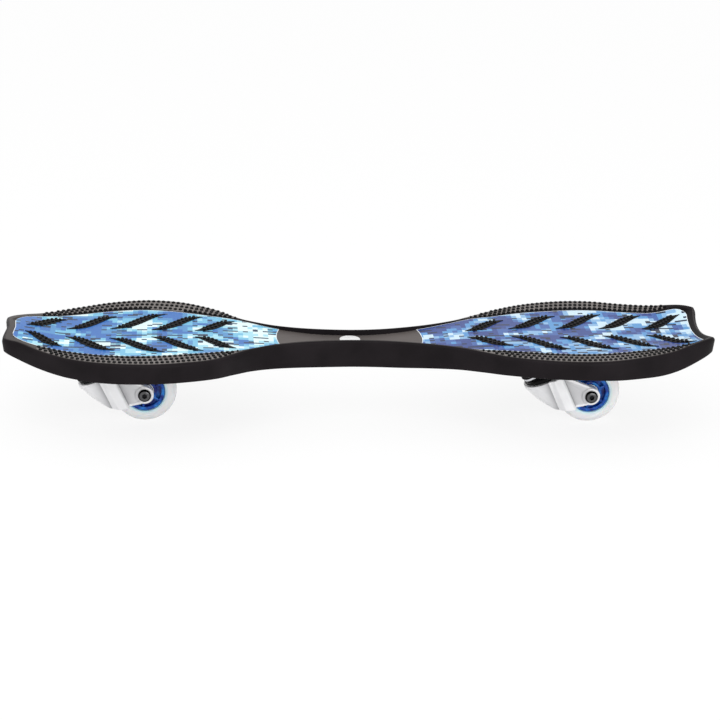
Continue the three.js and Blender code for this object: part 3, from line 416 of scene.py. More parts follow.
deck = lengths(
    length=839, width=240.98, height=106, kick=22.5, waistDepth=32.6, waistRecess=6.4,
    skin=4.5, wall=4.5, endWall=9, draft=1.6, edgeRadius=4, footRadius=1.6, step=0.7,
    noseNotch=3.4, noseNotchReach=30, tailNotch=6.3, tailNotchReach=50, notchFade=26, tailInset=1.05,
    bendStart=-90, bendEnd=66, twistHeight=90,
    # The border beside the step is a band of painted shadow
    gripMiddle=-14, gripFrom=132, gripNose=-377, gripTail=384, darkBorder=2.6, darkTail=380,
)
deck["weld"] = 0.02 * mm
deck.update(
    stations=210, evenShare=0.4, filletShare=0.7, filletTurns=(22.5, 45, 67.5, 90), footShare=0.3,
    wallShares=(0.25, 0.5, 0.75, 1), hollowShares=(0.5, 0.94, 1), roofShares=(0.97, 0.8, 0.6, 0.4, 0.2, 0),
)


def smoothTable(rows):
    # A smooth curve through rows of (place, value), held level past both ends
    last = len(rows) - 1
    slopes = []
    for i in range(len(rows)):
        before, after = rows[max(i - 1, 0)], rows[min(i + 1, last)]
        slopes.append((after[1] - before[1]) / (after[0] - before[0]))

    def at(place):
        held = min(max(place, rows[0][0]), rows[last][0])
        following = 1
        while following < last and rows[following][0] < held:
            following += 1
        start, end = rows[following - 1], rows[following]
        span = end[0] - start[0]
        t = (held - start[0]) / span
        u = 1 - t
        pull = t * u * u * slopes[following - 1] - t * t * u * slopes[following]
        return start[1] * u * u * (1 + 2 * t) + end[1] * t * t * (3 - 2 * t) + pull * span

    return at


outlineShares = smoothTable([
    (-1, 0.25), (-0.996, 0.313), (-0.988, 0.365), (-0.975, 0.405), (-0.95, 0.455), (-0.9, 0.58),
    (-0.85, 0.701), (-0.8, 0.81), (-0.72, 0.932), (-0.62, 1), (-0.54, 0.979), (-0.47, 0.899),
    (-0.41, 0.776), (-0.36, 0.603), (-0.31, 0.447), (-0.24, 0.314), (-0.15, 0.223), (-0.04, 0.181),
    (0.05, 0.193), (0.13, 0.245), (0.21, 0.327), (0.28, 0.435), (0.34, 0.574), (0.4, 0.717),
    (0.48, 0.854), (0.56, 0.937), (0.635, 0.964), (0.71, 0.935), (0.78, 0.853), (0.85, 0.762),
    (0.92, 0.652), (0.96, 0.582), (0.985, 0.513), (0.995, 0.45), (1, 0.38),
])
recessShares = smoothTable([
    (-1, 0.13), (-0.98, 0.25), (-0.95, 0.355), (-0.93, 0.405), (-0.88, 0.478), (-0.83, 0.543),
    (-0.78, 0.603), (-0.73, 0.658), (-0.66, 0.703), (-0.6, 0.709), (-0.53, 0.673), (-0.47, 0.616),
    (-0.41, 0.554), (-0.36, 0.495), (-0.33, 0.45), (-0.3, 0.39), (-0.24, 0.276), (-0.15, 0.185),
    (-0.04, 0.143), (0.05, 0.155), (0.13, 0.207), (0.21, 0.289), (0.28, 0.39), (0.31, 0.442),
    (0.34, 0.485), (0.4, 0.532), (0.48, 0.612), (0.56, 0.663), (0.635, 0.686), (0.71, 0.665),
    (0.78, 0.608), (0.85, 0.556), (0.89, 0.545), (0.93, 0.55), (0.955, 0.52), (0.98, 0.44),
    (1, 0.3),
])
edgeHeightShares = smoothTable([
    (-1, 0.366), (-0.95, 0.335), (-0.9, 0.184), (-0.85, 0.115), (-0.78, 0.105), (-0.7, 0.169),
    (-0.6, 0.217), (-0.5, 0.208), (-0.42, 0.119), (-0.32, 0.052), (-0.04, 0.06), (0.1, 0.083),
    (0.2, 0.114), (0.3, 0.153), (0.4, 0.204), (0.5, 0.311), (0.6, 0.381), (0.7, 0.434), (0.8, 0.48),
    (0.87, 0.592), (0.92, 0.809), (0.96, 0.956), (1, 1),
])
middleHeightShares = smoothTable([
    (-1, 0.462), (-0.95, 0.418), (-0.88, 0.218), (-0.83, 0.11), (-0.7, 0.081), (-0.6, 0.094),
    (-0.47, 0.086), (-0.32, 0.039), (-0.04, 0.039), (0.1, 0.062), (0.2, 0.098), (0.3, 0.166),
    (0.43, 0.242), (0.57, 0.246), (0.7, 0.289), (0.82, 0.324), (0.9, 0.36), (0.95, 0.436),
    (1, 0.554),
])
wallDepthShares = smoothTable([
    (-1, 0.22), (-0.95, 0.43), (-0.905, 0.555), (-0.857, 0.635), (-0.81, 0.665), (-0.71, 0.655),
    (-0.62, 0.612), (-0.52, 0.608), (-0.43, 0.667), (-0.33, 0.818), (-0.238, 0.915),
    (-0.143, 0.983), (-0.05, 1), (0.095, 0.973), (0.19, 0.884), (0.286, 0.752), (0.38, 0.615),
    (0.476, 0.512), (0.62, 0.449), (0.72, 0.483), (0.81, 0.51), (0.857, 0.468), (0.905, 0.34),
    (0.952, 0.125), (1, -0.11),
])
recessDepthShares = smoothTable([
    (-1, 0), (-0.985, 0), (-0.975, 0.2), (-0.45, 0.2), (-0.36, 0.22), (-0.28, 0.42), (-0.2, 0.7),
    (-0.12, 0.94), (-0.04, 1), (0.05, 0.97), (0.13, 0.8), (0.21, 0.52), (0.29, 0.3), (0.36, 0.2),
    (0.6, 0.2), (0.82, 0.2), (0.87, 0.27), (0.92, 0.4), (0.955, 0.45), (0.972, 0.45), (0.982, 0),
    (1, 0),
])

halfLength = deck["length"] / 2
halfWidth = deck["width"] / 2


def outerHalf(x):
    return outlineShares(x / halfLength) * halfWidth


def recessHalf(x):
    return recessShares(x / halfLength) * halfWidth


def edgeFillet(x):
    return min(deck["edgeRadius"], (outerHalf(x) - recessHalf(x) - deck["step"]) * deck["filletShare"])


def upperHeight(x, y):
    middle = deck["height"] + middleHeightShares(x / halfLength) * deck["kick"]
    edge = deck["height"] + edgeHeightShares(x / halfLength) * deck["kick"]
    share = min(abs(y) / outerHalf(x), 1)
    return middle + (edge - middle) * share * share


def recessDepth(x):
    return recessDepthShares(x / halfLength) * deck["waistRecess"]


def floorHeight(x, y):
    return upperHeight(x, y) - recessDepth(x)


def footHeight(x):
    return deck["height"] - wallDepthShares(x / halfLength) * deck["waistDepth"]


def notched(x, y):
    # The dips in the middle of the nose and of the tail
    toNose = max(1 - (x + halfLength) / deck["notchFade"], 0)
    toTail = max(1 - (halfLength - x) / deck["notchFade"], 0)
    noseDip = max(1 - abs(y) / deck["noseNotchReach"], 0)
    tailDip = max(1 - (y / deck["tailNotchReach"]) ** 2, 0)
    return x + toNose * noseDip * deck["noseNotch"] - toTail * tailDip * deck["tailNotch"]


# Columns across half of the deck: a zone and a share of it
columns = [("floor", share) for share in (0, 0.18, 0.36, 0.54, 0.7, 0.84, 0.94, 1)]
columns += [("step", share) for share in (0.2, 0.8)]
columns += [("rim", share) for share in (0, 0.17, 0.35, 0.65, 1)]


def columnPlace(x, column):
    zone, share = columns[abs(column)]
    side = -1 if column < 0 else 1
    inner, step = recessHalf(x), deck["step"]
    if zone == "floor":
        y = inner * share
        return y * side, floorHeight(x, y)
    if zone == "step":
        y = inner + step * share
        return y * side, floorHeight(x, y) + recessDepth(x) * share
    y = inner + step + (outerHalf(x) - edgeFillet(x) - inner - step) * share
    return y * side, upperHeight(x, y)


def stationPlace(share, reach):
    # Stations lie closer together towards the nose and the tail
    even = deck["evenShare"]
    return reach * (even * share + (1 - even) * math.sin(share * math.pi / 2))


def topMaterial(x, across):
    # 0 deck, 1 grip field, 2 channel, 4 nose rim; deckShell gives 3, the edge. The grip field, channel and
    # nose rim carry painted sheen; a band of deck black beside the step is a painted shadow line, and past
    # darkTail the floor keeps the deck's black
    inner = recessHalf(x)
    if x <= deck["gripNose"]:
        return 4
    if across < inner and x < deck["darkTail"]:
        return 2
    # A band of the deck's black beside the step: painted shadow of the step
    if across < inner + deck["step"] + deck["darkBorder"] or x > deck["gripTail"]:
        return 0
    return 1 if deck["gripFrom"] < abs(x - deck["gripMiddle"]) else 2


def deckShell(bm):
    # The top, its round edge, the outer wall and the foot, grown from the top's outline
    last = len(columns) - 1
    reach = halfLength - deck["edgeRadius"]
    for v, i, j in numberedGrid(bm, deck["stations"], 2 * last):
        share = 2 * i / deck["stations"] - 1
        x = stationPlace(share, reach - (deck["tailInset"] if share > 0 else 0))
        y, z = columnPlace(x, j - last)
        v.co = (notched(x, y), y, z)
    top = set(bm.faces)
    for f in top:
        middle = f.calc_center_median()
        f.material_index = topMaterial(middle.x, abs(middle.y))
    loop = boundaryLoop(bm)
    shoulder = set(loop)
    base = [v.co.copy() for v in loop]
    normals = loopNormals(base)

    def filletPlace(i, degrees):
        fillet, turn = edgeFillet(base[i].x), math.radians(degrees)
        return base[i] + normals[i] * fillet * math.sin(turn) - Vector((0, 0, fillet * (1 - math.cos(turn))))

    def wallPlace(i, row):
        inset, share, above = row
        x, fillet = base[i].x, edgeFillet(base[i].x)
        start = base[i].z - fillet
        drop = start + (footHeight(x) + above - start) * share - base[i].z
        return base[i] + normals[i] * (fillet - inset) + Vector((0, 0, drop))

    foot, draft, wall = deck["footRadius"], deck["draft"], deck["draft"] + deck["wall"]
    corner = foot * deck["footShare"]
    rows = [(draft * share, share, foot) for share in deck["wallShares"]]
    rows += [(draft + corner, 1, corner), (draft + foot, 1, 0)]
    rows += [(wall - foot / 2, 1, 0), (wall, 1, foot / 2)]
    loop = growRings(bm, loop, filletPlace, deck["filletTurns"])
    loop = growRings(bm, loop, wallPlace, rows)
    # Faces touching the top's outline take finish 3, the edge's painted highlight; the rest of the wall and
    # foot stay deck black
    for f in bm.faces:
        if f not in top:
            f.material_index = 3 if any(v in shoulder for v in f.verts) else 0
    return loop


def hollowRoof(bm, loop):
    # The hollow's walls and its roof under the skin, grown inwards from the foot
    base = [v.co.copy() for v in loop]
    limit = halfLength - deck["edgeRadius"] - deck["wall"]

    def roof(x, y):
        return floorHeight(max(min(x, halfLength), -halfLength), y) - deck["skin"]

    def wallPlace(i, share):
        point = base[i]
        return Vector((point.x, point.y, point.z + (roof(point.x, point.y) - point.z) * share))

    def roofPlace(i, share):
        x, y = max(min(base[i].x, limit), -limit), base[i].y * share
        return Vector((x, y, roof(x, y)))

    loop = growRings(bm, loop, wallPlace, deck["hollowShares"])
    growRings(bm, loop, roofPlace, deck["roofShares"])


ribs = lengths(thickness=3, inset=1.5, offset=34, middle=1)
ribs.update(count=5, sinkShare=0.8, acrossSegments=16, alongSegments=40, samples=200)


def innerHalf(x):
    return outerHalf(x) - deck["draft"] - deck["wall"] / 2


def underSkin(x, y):
    return floorHeight(x, y) - deck["skin"] * ribs["sinkShare"]


def ribPlate(bm, segments, place, thickness):
    # A standing plate from a grid: place gives x and y for a share along it
    grid = numberedGrid(bm, segments, 1)
    for v, i, upper in grid:
        x, y = place(i / segments)
        v.co = (x, y, underSkin(x, y) if upper else footHeight(x) + ribs["inset"])
    pushed = thicken(bm, facesOf(v for v, i, upper in grid))
    bmesh.ops.translate(bm, verts=pushed, vec=thickness)


def makeRibs(bm):
    thick, count = ribs["thickness"], ribs["count"]
    endX = halfLength - deck["endWall"]
    for number in range(-count, count + 1):
        x = number * endX / (count + 1) - thick / 2 if number else ribs["middle"]
        half = innerHalf(x)
        ribPlate(bm, ribs["acrossSegments"], lambda share: (x, half * (2 * share - 1)), (thick, 0, 0))
    for side in (-1, 1):
        places = [side * endX * i / ribs["samples"] for i in range(ribs["samples"] + 1)]
        lobe = [x for x in places if innerHalf(x) > ribs["offset"] + thick / 2]
        low, high = min(lobe), max(lobe)
        for way in (-1, 1):
            y = way * ribs["offset"] - thick / 2
            ribPlate(bm, ribs["alongSegments"], lambda share: (low + (high - low) * share, y), (0, thick, 0))


caster = lengths(
    frontAxle=-254.5, rearAxle=282, axleHeight=38, offset=42,
    blockBottom=53.7, blockHalf=26, blockCorner=9, blockChamfer=1,
)
caster.update(lean=math.radians(25), wedgeTurns=12)


def casterMatrix(end):
    # Z along the leaning steering axis, and the origin at the middle of the axle
    place = Matrix.Translation((caster[end + "Axle"], 0, caster["axleHeight"]))
    return place @ Matrix.Rotation(-caster["lean"], 4, "Y")


def roundedSquare(half, corner, steps=5):
    # Points round a square with round corners, one run of steps at each corner
    points = []
    inner = half - corner
    for quarter in range(4):
        middle = math.radians(45 + 90 * quarter)
        cx, cy = math.copysign(inner, math.cos(middle)), math.copysign(inner, math.sin(middle))
        for k in range(steps + 1):
            angle = middle + math.radians(90) * (k / steps - 0.5)
            points.append((cx + math.cos(angle) * corner, cy + math.sin(angle) * corner))
    return points


def makeWedge(bm, end):
    # The moulded wedge that carries a mounting plate: from its flat foot up into the skin
    matrix, lean = casterMatrix(end), math.cos(caster["lean"])
    half, corner, chamfer = caster["blockHalf"], caster["blockCorner"], caster["blockChamfer"]
    outline = roundedSquare(half, corner)
    low = caster["blockBottom"]

    def at(u, y, w):
        return matrix @ Vector((u - caster["offset"], y, w))

    loop = [bm.verts.new(at(u, y, low)) for u, y in roundedSquare(half - chamfer, corner - chamfer)]
    bm.faces.new(loop)

    def place(i, share):
        # The skin's height is found by steps along the leaning edge
        u, y = outline[i]
        start = low + chamfer
        w = start
        for _ in range(caster["wedgeTurns"]):
            point = at(u, y, w)
            w += (underSkin(point.x, y) - point.z) * lean
        return at(u, y, start + (w - start) * share)

    bm.faces.new(growRings(bm, loop, place, (0, 0.5, 1)))


def bendWithDeck(piece):
    start, end = ((deck[key], 0, deck["twistHeight"]) for key in ("bendStart", "bendEnd"))
    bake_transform(piece)
    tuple(start)
    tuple(end)


def makeDeck():
    bm = bmesh.new()
    hollowRoof(bm, deckShell(bm))
    merge(bm, deck["weld"])
    makeRibs(bm)
    for end in ("front", "rear"):
        makeWedge(bm, end)
    keys = ["deck", "grip", "channel", "edge", "nose"]
    piece = dress("deckMoulding", bm, keys, nodes=["deck_front_half", "deck_rear_half"], sharpDegrees=32)
    bendWithDeck(piece)
    print("deck moulded:", len(piece.data.polygons), "faces")


makeDeck()


# Printed films in the recess

film = lengths(lift=0.35, thickness=0.5, border=1, hollow=4, hollowFade=24, corner=10)
film.update(
    frontEnds=(-408.5, -94), rearEnds=(72, 407.5), edgeColumns=(0, 1, 2, 3.2, 5), innerColumns=9,
    stations=110, evenShare=0.4,
)


def makeFilm(end):
    waistAtHigh = end == "front"
    low, high = (place * mm for place in film[end + "Ends"])
    edge = [distance * mm for distance in film["edgeColumns"]]
    inner, stations, corner = film["innerColumns"], film["stations"], film["corner"]
    half = len(edge) + inner - 1
    bm = bmesh.new()
    layer = bm.verts.layers.float.new("fromEdge")
    for v, i, j in numberedGrid(bm, stations, 2 * half):
        even = film["evenShare"]
        along = (1 - math.cos(i / stations * math.pi)) / 2 * (1 - even) + i / stations * even
        x = low + (high - low) * along
        toWaist = high - x if waistAtHigh else x - low
        shortBy = max(corner - (high - low - toWaist), 0)
        side = recessHalf(x) - film["border"] - corner + math.sqrt(corner ** 2 - shortBy ** 2)
        number = abs(j - half)
        y = side - edge[half - number] if number > inner else (side - edge[-1]) * number / inner
        y *= 1 if j > half else -1
        fade = max(1 - toWaist / film["hollowFade"], 0)
        bite = film["hollow"] * fade * (1 - (y / side) ** 2) * (-1 if waistAtHigh else 1)
        v[layer] = min(side - abs(y), x - low, high - x) / mm
        v.co = (notched(x, y) + bite, y, floorHeight(x, y) + film["lift"] + film["thickness"])
    bmesh.ops.translate(bm, verts=thicken(bm, bm.faces[:]), vec=(0, 0, -film["thickness"]))
    dress(end + "Film", bm, [end + "Film"], end + "_deck", sharpDegrees=40)


makeFilm("front")
makeFilm("rear")
print("films printed")


# Grip: leaf pads that stand through the film, and rows of small spikes

grip = lengths(
    leafHalfWidth=7.5, leafRise=1.9, leafRoot=3, leafPitch=5.6,
    spikePitch=6.05, spikeHalfX=2.35, spikeHalfY=2.8, spikeRise=1.5, fullStrip=9,
)
grip.update(
    leafSway=0.09, leafSteps=26, leafColumns=6, leafPoint=0.02, sideCrown=0.28, endCrown=0.1,
    leafRows=0.42, leafEnd=0.16, leafSpike=0.86, spikeTip=0.78, spikeSides=8, spikeDepth=1.4,
    spikeLift=0.3, frontRun=(-376, -146), rearRun=(118, 388),
)

# The inner and outer end of each leaf, as shares of half the length and half the width
frontLeafShares = [
    (-0.94, 0.097, -0.834, 0.402), (-0.827, 0.116, -0.69, 0.51), (-0.705, 0.14, -0.55, 0.571),
    (-0.588, 0.108, -0.443, 0.513), (-0.465, 0.095, -0.351, 0.403),
]
rearLeafShares = [
    (0.308, 0.095, 0.429, 0.382), (0.434, 0.118, 0.586, 0.505), (0.572, 0.13, 0.722, 0.529),
    (0.696, 0.11, 0.838, 0.473), (0.823, 0.101, 0.95, 0.411),
]

# Rows of spikes on a strip wider than so many millimetres: a share across, and a shift along in pitches
stripRows = [
    (15, [(0.17, 0.0), (0.52, 0.3), (0.87, 0.6)]), (9, [(0.3, 0.0), (0.76, 0.4)]), (4.2, [(0.5, 0.0)]),
]


def leafPoint(row, side, t, across):
    start = Vector((row[0] * halfLength, row[1] * halfWidth))
    end = Vector((row[2] * halfLength, row[3] * halfWidth))
    along = (end - start).normalized()
    sway = t - grip["leafSway"] * math.sin(tau * t)
    half = max(math.sin(math.pi * t), grip["leafPoint"]) * grip["leafHalfWidth"] * across
    x = start.x + (end.x - start.x) * t - along.y * half
    y = start.y + (end.y - start.y) * sway + along.x * half
    return x, y * side


def makeLeaf(bm, row, side):
    steps, across = grip["leafSteps"], grip["leafColumns"]
    grid = numberedGrid(bm, steps, across)
    for v, i, j in grid:
        t, out = i / steps, 2 * j / across - 1
        x, y = leafPoint(row, side, t, out)
        crown = 1 - grip["sideCrown"] * abs(out) ** 4 - grip["endCrown"] * (2 * t - 1) ** 6
        v.co = (x, y, floorHeight(x, y) + grip["leafRise"] * crown)
    for v in thicken(bm, facesOf(v for v, i, j in grid)):
        v.co.z = floorHeight(v.co.x, v.co.y) - grip["leafRoot"]


def leafSpikes(row, side):
    # Two staggered rows along a leaf, clear of its pointed ends
    length = math.hypot((row[2] - row[0]) * halfLength, (row[3] - row[1]) * halfWidth)
    count = round(length / grip["leafPitch"])
    for number in range(count):
        for line, shift in ((-1, 0.25), (1, 0.75)):
            t = (number + shift) / count
            if grip["leafEnd"] < t < 1 - grip["leafEnd"]:
                x, y = leafPoint(row, side, t, line * grip["leafRows"])
                yield x, y, floorHeight(x, y) + grip["leafRise"], grip["leafSpike"]


def stripWidth(x):
    return outerHalf(x) - edgeFillet(x) - recessHalf(x) - deck["step"]


def stripSpikes(low, high):
    # Rows along the strip outside the recess, fewer where it is narrow
    pitch = grip["spikePitch"]
    for number in range(int((high - low) / pitch) + 1):
        start = low + number * pitch
        rows = next((rows for least, rows in stripRows if stripWidth(start) > least * mm), [])
        for share, shift in rows:
            x = start + shift * pitch
            width = stripWidth(x)
            for side in (-1, 1):
                y = side * (recessHalf(x) + deck["step"] + width * share)
                yield x, y, upperHeight(x, y), min(width / grip["fullStrip"], 1)


def makeSpike(bm, x, y, z, size):
    rise = grip["spikeRise"]
    place = Matrix.Translation((x, y, z + rise * grip["spikeLift"]))
    scale = Matrix.Diagonal((grip["spikeHalfX"] * size, grip["spikeHalfY"] * size, rise, 1))
    made = bmesh.ops.create_cone(
        bm, cap_ends=True, cap_tris=False, segments=grip["spikeSides"],
        radius1=1, radius2=grip["spikeTip"], depth=grip["spikeDepth"], matrix=place @ scale,
    )
    for f in facesOf(made["verts"]):
        f.material_index = 1


def makeGrip(end, leaves):
    bm = bmesh.new()
    places = []
    for row in leaves:
        for side in (-1, 1):
            makeLeaf(bm, row, side)
            places += leafSpikes(row, side)
    places += stripSpikes(*(place * mm for place in grip[end + "Run"]))
    for place in places:
        makeSpike(bm, *place)
    dress(end + "Grip", bm, ["pad", "spike"], end + "_deck", nodes=(), sharpDegrees=50)
    print(end + "Grip", "has", len(places), "spikes")


makeGrip("front", frontLeafShares)
makeGrip("rear", rearLeafShares)


# Badge at the waist, plain

badge = lengths(
    x=-10.5, radius=12.4, rise=0.5, low=0.9, high=1.9, chamfer=0.3, rim=1.3,
    groove=0.25, grooveStart=0.2, grooveEnd=0.5, faceStart=0.7, weld=0.01,
)
badge.update(steps=48, halfwayShare=0.25, topShare=0.4)


def makeBadge():
    level, r, groove = floorHeight(badge["x"], 0), badge["radius"], badge["groove"]
    low, high, rim = level + badge["low"], level + badge["high"], r - badge["rim"]
    profile = [
        (0, low), (r, low), (r, high - badge["chamfer"]), (r - badge["chamfer"], high), (rim, high),
        (rim - badge["grooveStart"], high - groove), (rim - badge["grooveEnd"], high - groove),
        (rim - badge["faceStart"], high), (r / 2, high + badge["rise"] * badge["halfwayShare"]),
        (0, high + badge["rise"] * badge["topShare"]),
    ]
    place = Matrix.Translation((badge["x"], 0, 0))
    bm = spunMesh(profile, place, badge["steps"], closed=False, weld=badge["weld"])
    bendWithDeck(dress("centreBadge", bm, ["badge"], sharpDegrees=40))


makeBadge()
print("grip and badge made")


# Casters: small turned and screwed pieces, in the frame of the leaning steering axis

swivel = lengths(
    plateHalf=24, plateCorner=7, plateLow=50.4, plateHigh=53.4, plateBore=5.4, plateEdge=0.5,
    screwPlace=18.3, screwHeadLow=46.5, screwHeadHigh=50.1, screwEnd=66.1,
    screwHead=4.2, screwShaft=2.5, screwSocket=1.9, screwSocketDepth=2,
    pin=5, pinHead=8, pinLow=26, pinHigh=57.3, pinGap=0.3, pinChamfer=0.8, pinHeadChamfer=0.6,
    nut=8.5, nutLow=27.5, nutHigh=34, nutClearance=0.25,
    ringInner=17.3, ringOuter=24.5, ringLow=40.5, ringHigh=46.2,
    ringFootIn=0.7, ringFootUp=0.9, ringTopIn=1, ringTopDown=1.6, ringRound=0.5,
    race=17, raceBore=5.6, lowerRaceLow=40.3, lowerRaceHigh=42.9, upperRaceLow=47.5, upperRaceHigh=50.1,
)
axle = lengths(
    head=7.8, headFace=27.2, bossFace=23.8, socket=3, socketDepth=2.4, shaft=3.7, end=30.3,
    nut=7, nutHigh=28.8, nutClearance=0.15, spacer=6.2, spacerFrom=10.3, spacerTo=15.2, bore=4,
)
bearing = lengths(
    radius=11, outerWall=1.8, innerWall=1.9, centre=6.5, half=3.5, shieldInset=0.6, shieldGap=0.5,
    spacerHalf=2.7, spacerWall=1.6,
)
screw = lengths(socketEdge=0.25, socketLip=0.2, domeStart=0.6, polishStart=0.3, chamfer=0.25, endChamfer=0.5)
screw.update(domeShare=0.8, polishShare=0.8, socketTaper=0.96)
screw.update(domeShares=(0.15, 0.35, 0.55, 0.72, 0.87, 0.96, 1))
nut = lengths(chamfer=0.6, boreChamfer=0.4)

sides = 36
stackWeld = 0.002 * mm


def circleOf(radius):
    return [(radius * math.cos(tau * i / sides), radius * math.sin(tau * i / sides)) for i in range(sides)]


def hexOf(radius):
    # The same number of points as a circle, on a hexagon
    points = []
    for i in range(sides):
        angle = tau * i / sides
        reach = radius * math.cos(math.pi / 6) / math.cos((angle % (math.pi / 3)) - math.pi / 6)
        points.append((reach * math.cos(angle), reach * math.sin(angle)))
    return points


def stackRings(bm, matrix, levels, closed):
    # Rings of points (outline, height) grown one after another; a closed stack comes back to its start
    def place(i, level):
        return matrix @ Vector((*level[0][i], level[1]))

    first = [bm.verts.new(place(i, levels[0])) for i in range(len(levels[0][0]))]
    for pair in zip(first, first[1:] + first[:1]):
        bm.edges.new(pair)
    last = growRings(bm, first, place, levels[1:] + (levels[:1] if closed else []))
    if not closed:
        bm.faces.new(first)
        bm.faces.new(last)
    merge(bm, stackWeld)


def socketScrew(name, body, matrix, heights, radii, depth):
    # A button head from its face to its foot, and a shaft up to its end, along the matrix's Z
    face, foot, end = heights
    head, shaft, socket = radii
    dome = (foot - face) * screw["domeShare"]
    inner = socket + screw["domeStart"]
    levels = [
        (hexOf(socket * screw["socketTaper"]), face + depth), (hexOf(socket), face + screw["socketLip"]),
        (hexOf(socket + screw["socketEdge"]), face),
    ]
    for share in screw["domeShares"]:
        height = face + dome * (1 - math.sqrt(1 - share * share))
        levels.append((circleOf(inner + (head - inner) * share), height))
    levels += [
        (circleOf(head), foot - screw["chamfer"]), (circleOf(head - screw["chamfer"]), foot),
        (circleOf(shaft), foot), (circleOf(shaft), end - screw["endChamfer"]),
        (circleOf(shaft - screw["endChamfer"]), end),
    ]
    bm = bmesh.new()
    stackRings(bm, Matrix.Identity(4), levels, False)
    for f in bm.faces:
        middle = f.calc_center_median()
        reach = math.hypot(middle.x, middle.y)
        polished = socket + screw["polishStart"] < reach < head * screw["polishShare"]
        f.material_index = 1 if polished and abs(middle.z - face) < dome else 0
    bmesh.ops.transform(bm, matrix=matrix, verts=bm.verts)
    dress(name, bm, ["screw", "polish"], body)


def hexNut(name, body, matrix, low, high, radius, bore):
    chamfer, lead = nut["chamfer"], nut["boreChamfer"]
    flat, wide = circleOf(radius * math.cos(math.pi / 6)), circleOf(bore + lead)
    levels = [
        (circleOf(bore), low + lead), (wide, low), (flat, low), (hexOf(radius), low + chamfer),
        (hexOf(radius), high - chamfer), (flat, high), (wide, high), (circleOf(bore), high - lead),
    ]
    bm = bmesh.new()
    stackRings(bm, matrix, levels, True)
    dress(name, bm, ["zinc"], body)


def turned(name, body, matrix, profile, key="zinc", steps=32, radius=0.4 * mm):
    # A ring turned from a profile with its corners rounded, or with no radius a pin from foot to top
    bm = spunMesh(rounded(profile, radius) if radius else profile, matrix, steps, closed=bool(radius))
    dress(name, bm, [key], body)


def boxProfile(inner, outer, low, high):
    return [(inner, low), (outer, low), (outer, high), (inner, high)]


def makePlate(end, matrix, perCorner=6, spread=0.9):
    half, corner, edge = swivel["plateHalf"], swivel["plateCorner"], swivel["plateEdge"]
    low, high = swivel["plateLow"], swivel["plateHigh"]
    bore = []  # as many points as the outline, gathered in the same four runs
    for i in range(4 * perCorner):
        turn = i // perCorner + (i % perCorner / (perCorner - 1) - 0.5) * spread + 0.5
        angle = math.radians(90) * turn
        bore.append((swivel["plateBore"] * math.cos(angle), swivel["plateBore"] * math.sin(angle)))
    small, full = roundedSquare(half - edge, corner - edge), roundedSquare(half, corner)
    levels = [(bore, low), (small, low), (full, low + edge), (full, high - edge)]
    levels += [(small, high), (bore, high)]
    bm = bmesh.new()
    stackRings(bm, matrix, levels, True)
    dress(end + "MountPlate", bm, ["zinc"], end + "_deck")


def makeSwivel(end):
    deckBody, forkBody = end + "_deck", end + "_fork"
    upright = casterMatrix(end) @ Matrix.Translation((-caster["offset"], 0, 0))
    makePlate(end, upright)
    place = swivel["screwPlace"]
    heights = [swivel["screw" + word] for word in ("HeadLow", "HeadHigh", "End")]
    radii = [swivel["screw" + word] for word in ("Head", "Shaft", "Socket")]
    for number, (a, b) in enumerate(((-1, -1), (1, -1), (1, 1), (-1, 1)), 1):
        matrix = upright @ Matrix.Translation((a * place, b * place, 0))
        name = f"{end}PlateScrew{number}"
        socketScrew(name, deckBody, matrix, heights, radii, swivel["screwSocketDepth"])
    pin, head, foot, top = swivel["pin"], swivel["pinHead"], swivel["pinLow"], swivel["pinHigh"]
    plateTop, small = swivel["plateHigh"] + swivel["pinGap"], swivel["pinHeadChamfer"]
    profile = [
        (0, foot), (pin - swivel["pinChamfer"], foot), (pin, foot + swivel["pinChamfer"]), (pin, plateTop),
        (head, plateTop), (head, top - small), (head - small, top), (0, top),
    ]
    turned(end + "Kingpin", deckBody, upright, profile, radius=0)
    hexNut(
        end + "KingpinNut", deckBody, upright,
        swivel["nutLow"], swivel["nutHigh"], swivel["nut"], pin + swivel["nutClearance"],
    )
    for word, body in (("upper", deckBody), ("lower", forkBody)):
        low, high = swivel[word + "RaceLow"], swivel[word + "RaceHigh"]
        profile = boxProfile(swivel["raceBore"], swivel["race"], low, high)
        turned(f"{end}{word.title()}Race", body, upright, profile, steps=48)
    inner, outer, low, high = (swivel["ring" + word] for word in ("Inner", "Outer", "Low", "High"))
    profile = [
        (inner, low), (outer - swivel["ringFootIn"], low), (outer, low + swivel["ringFootUp"]),
        (outer, high - swivel["ringTopDown"]), (outer - swivel["ringTopIn"], high), (inner, high),
    ]
    turned(end + "DustRing", forkBody, upright, profile, "black", steps=64, radius=swivel["ringRound"])


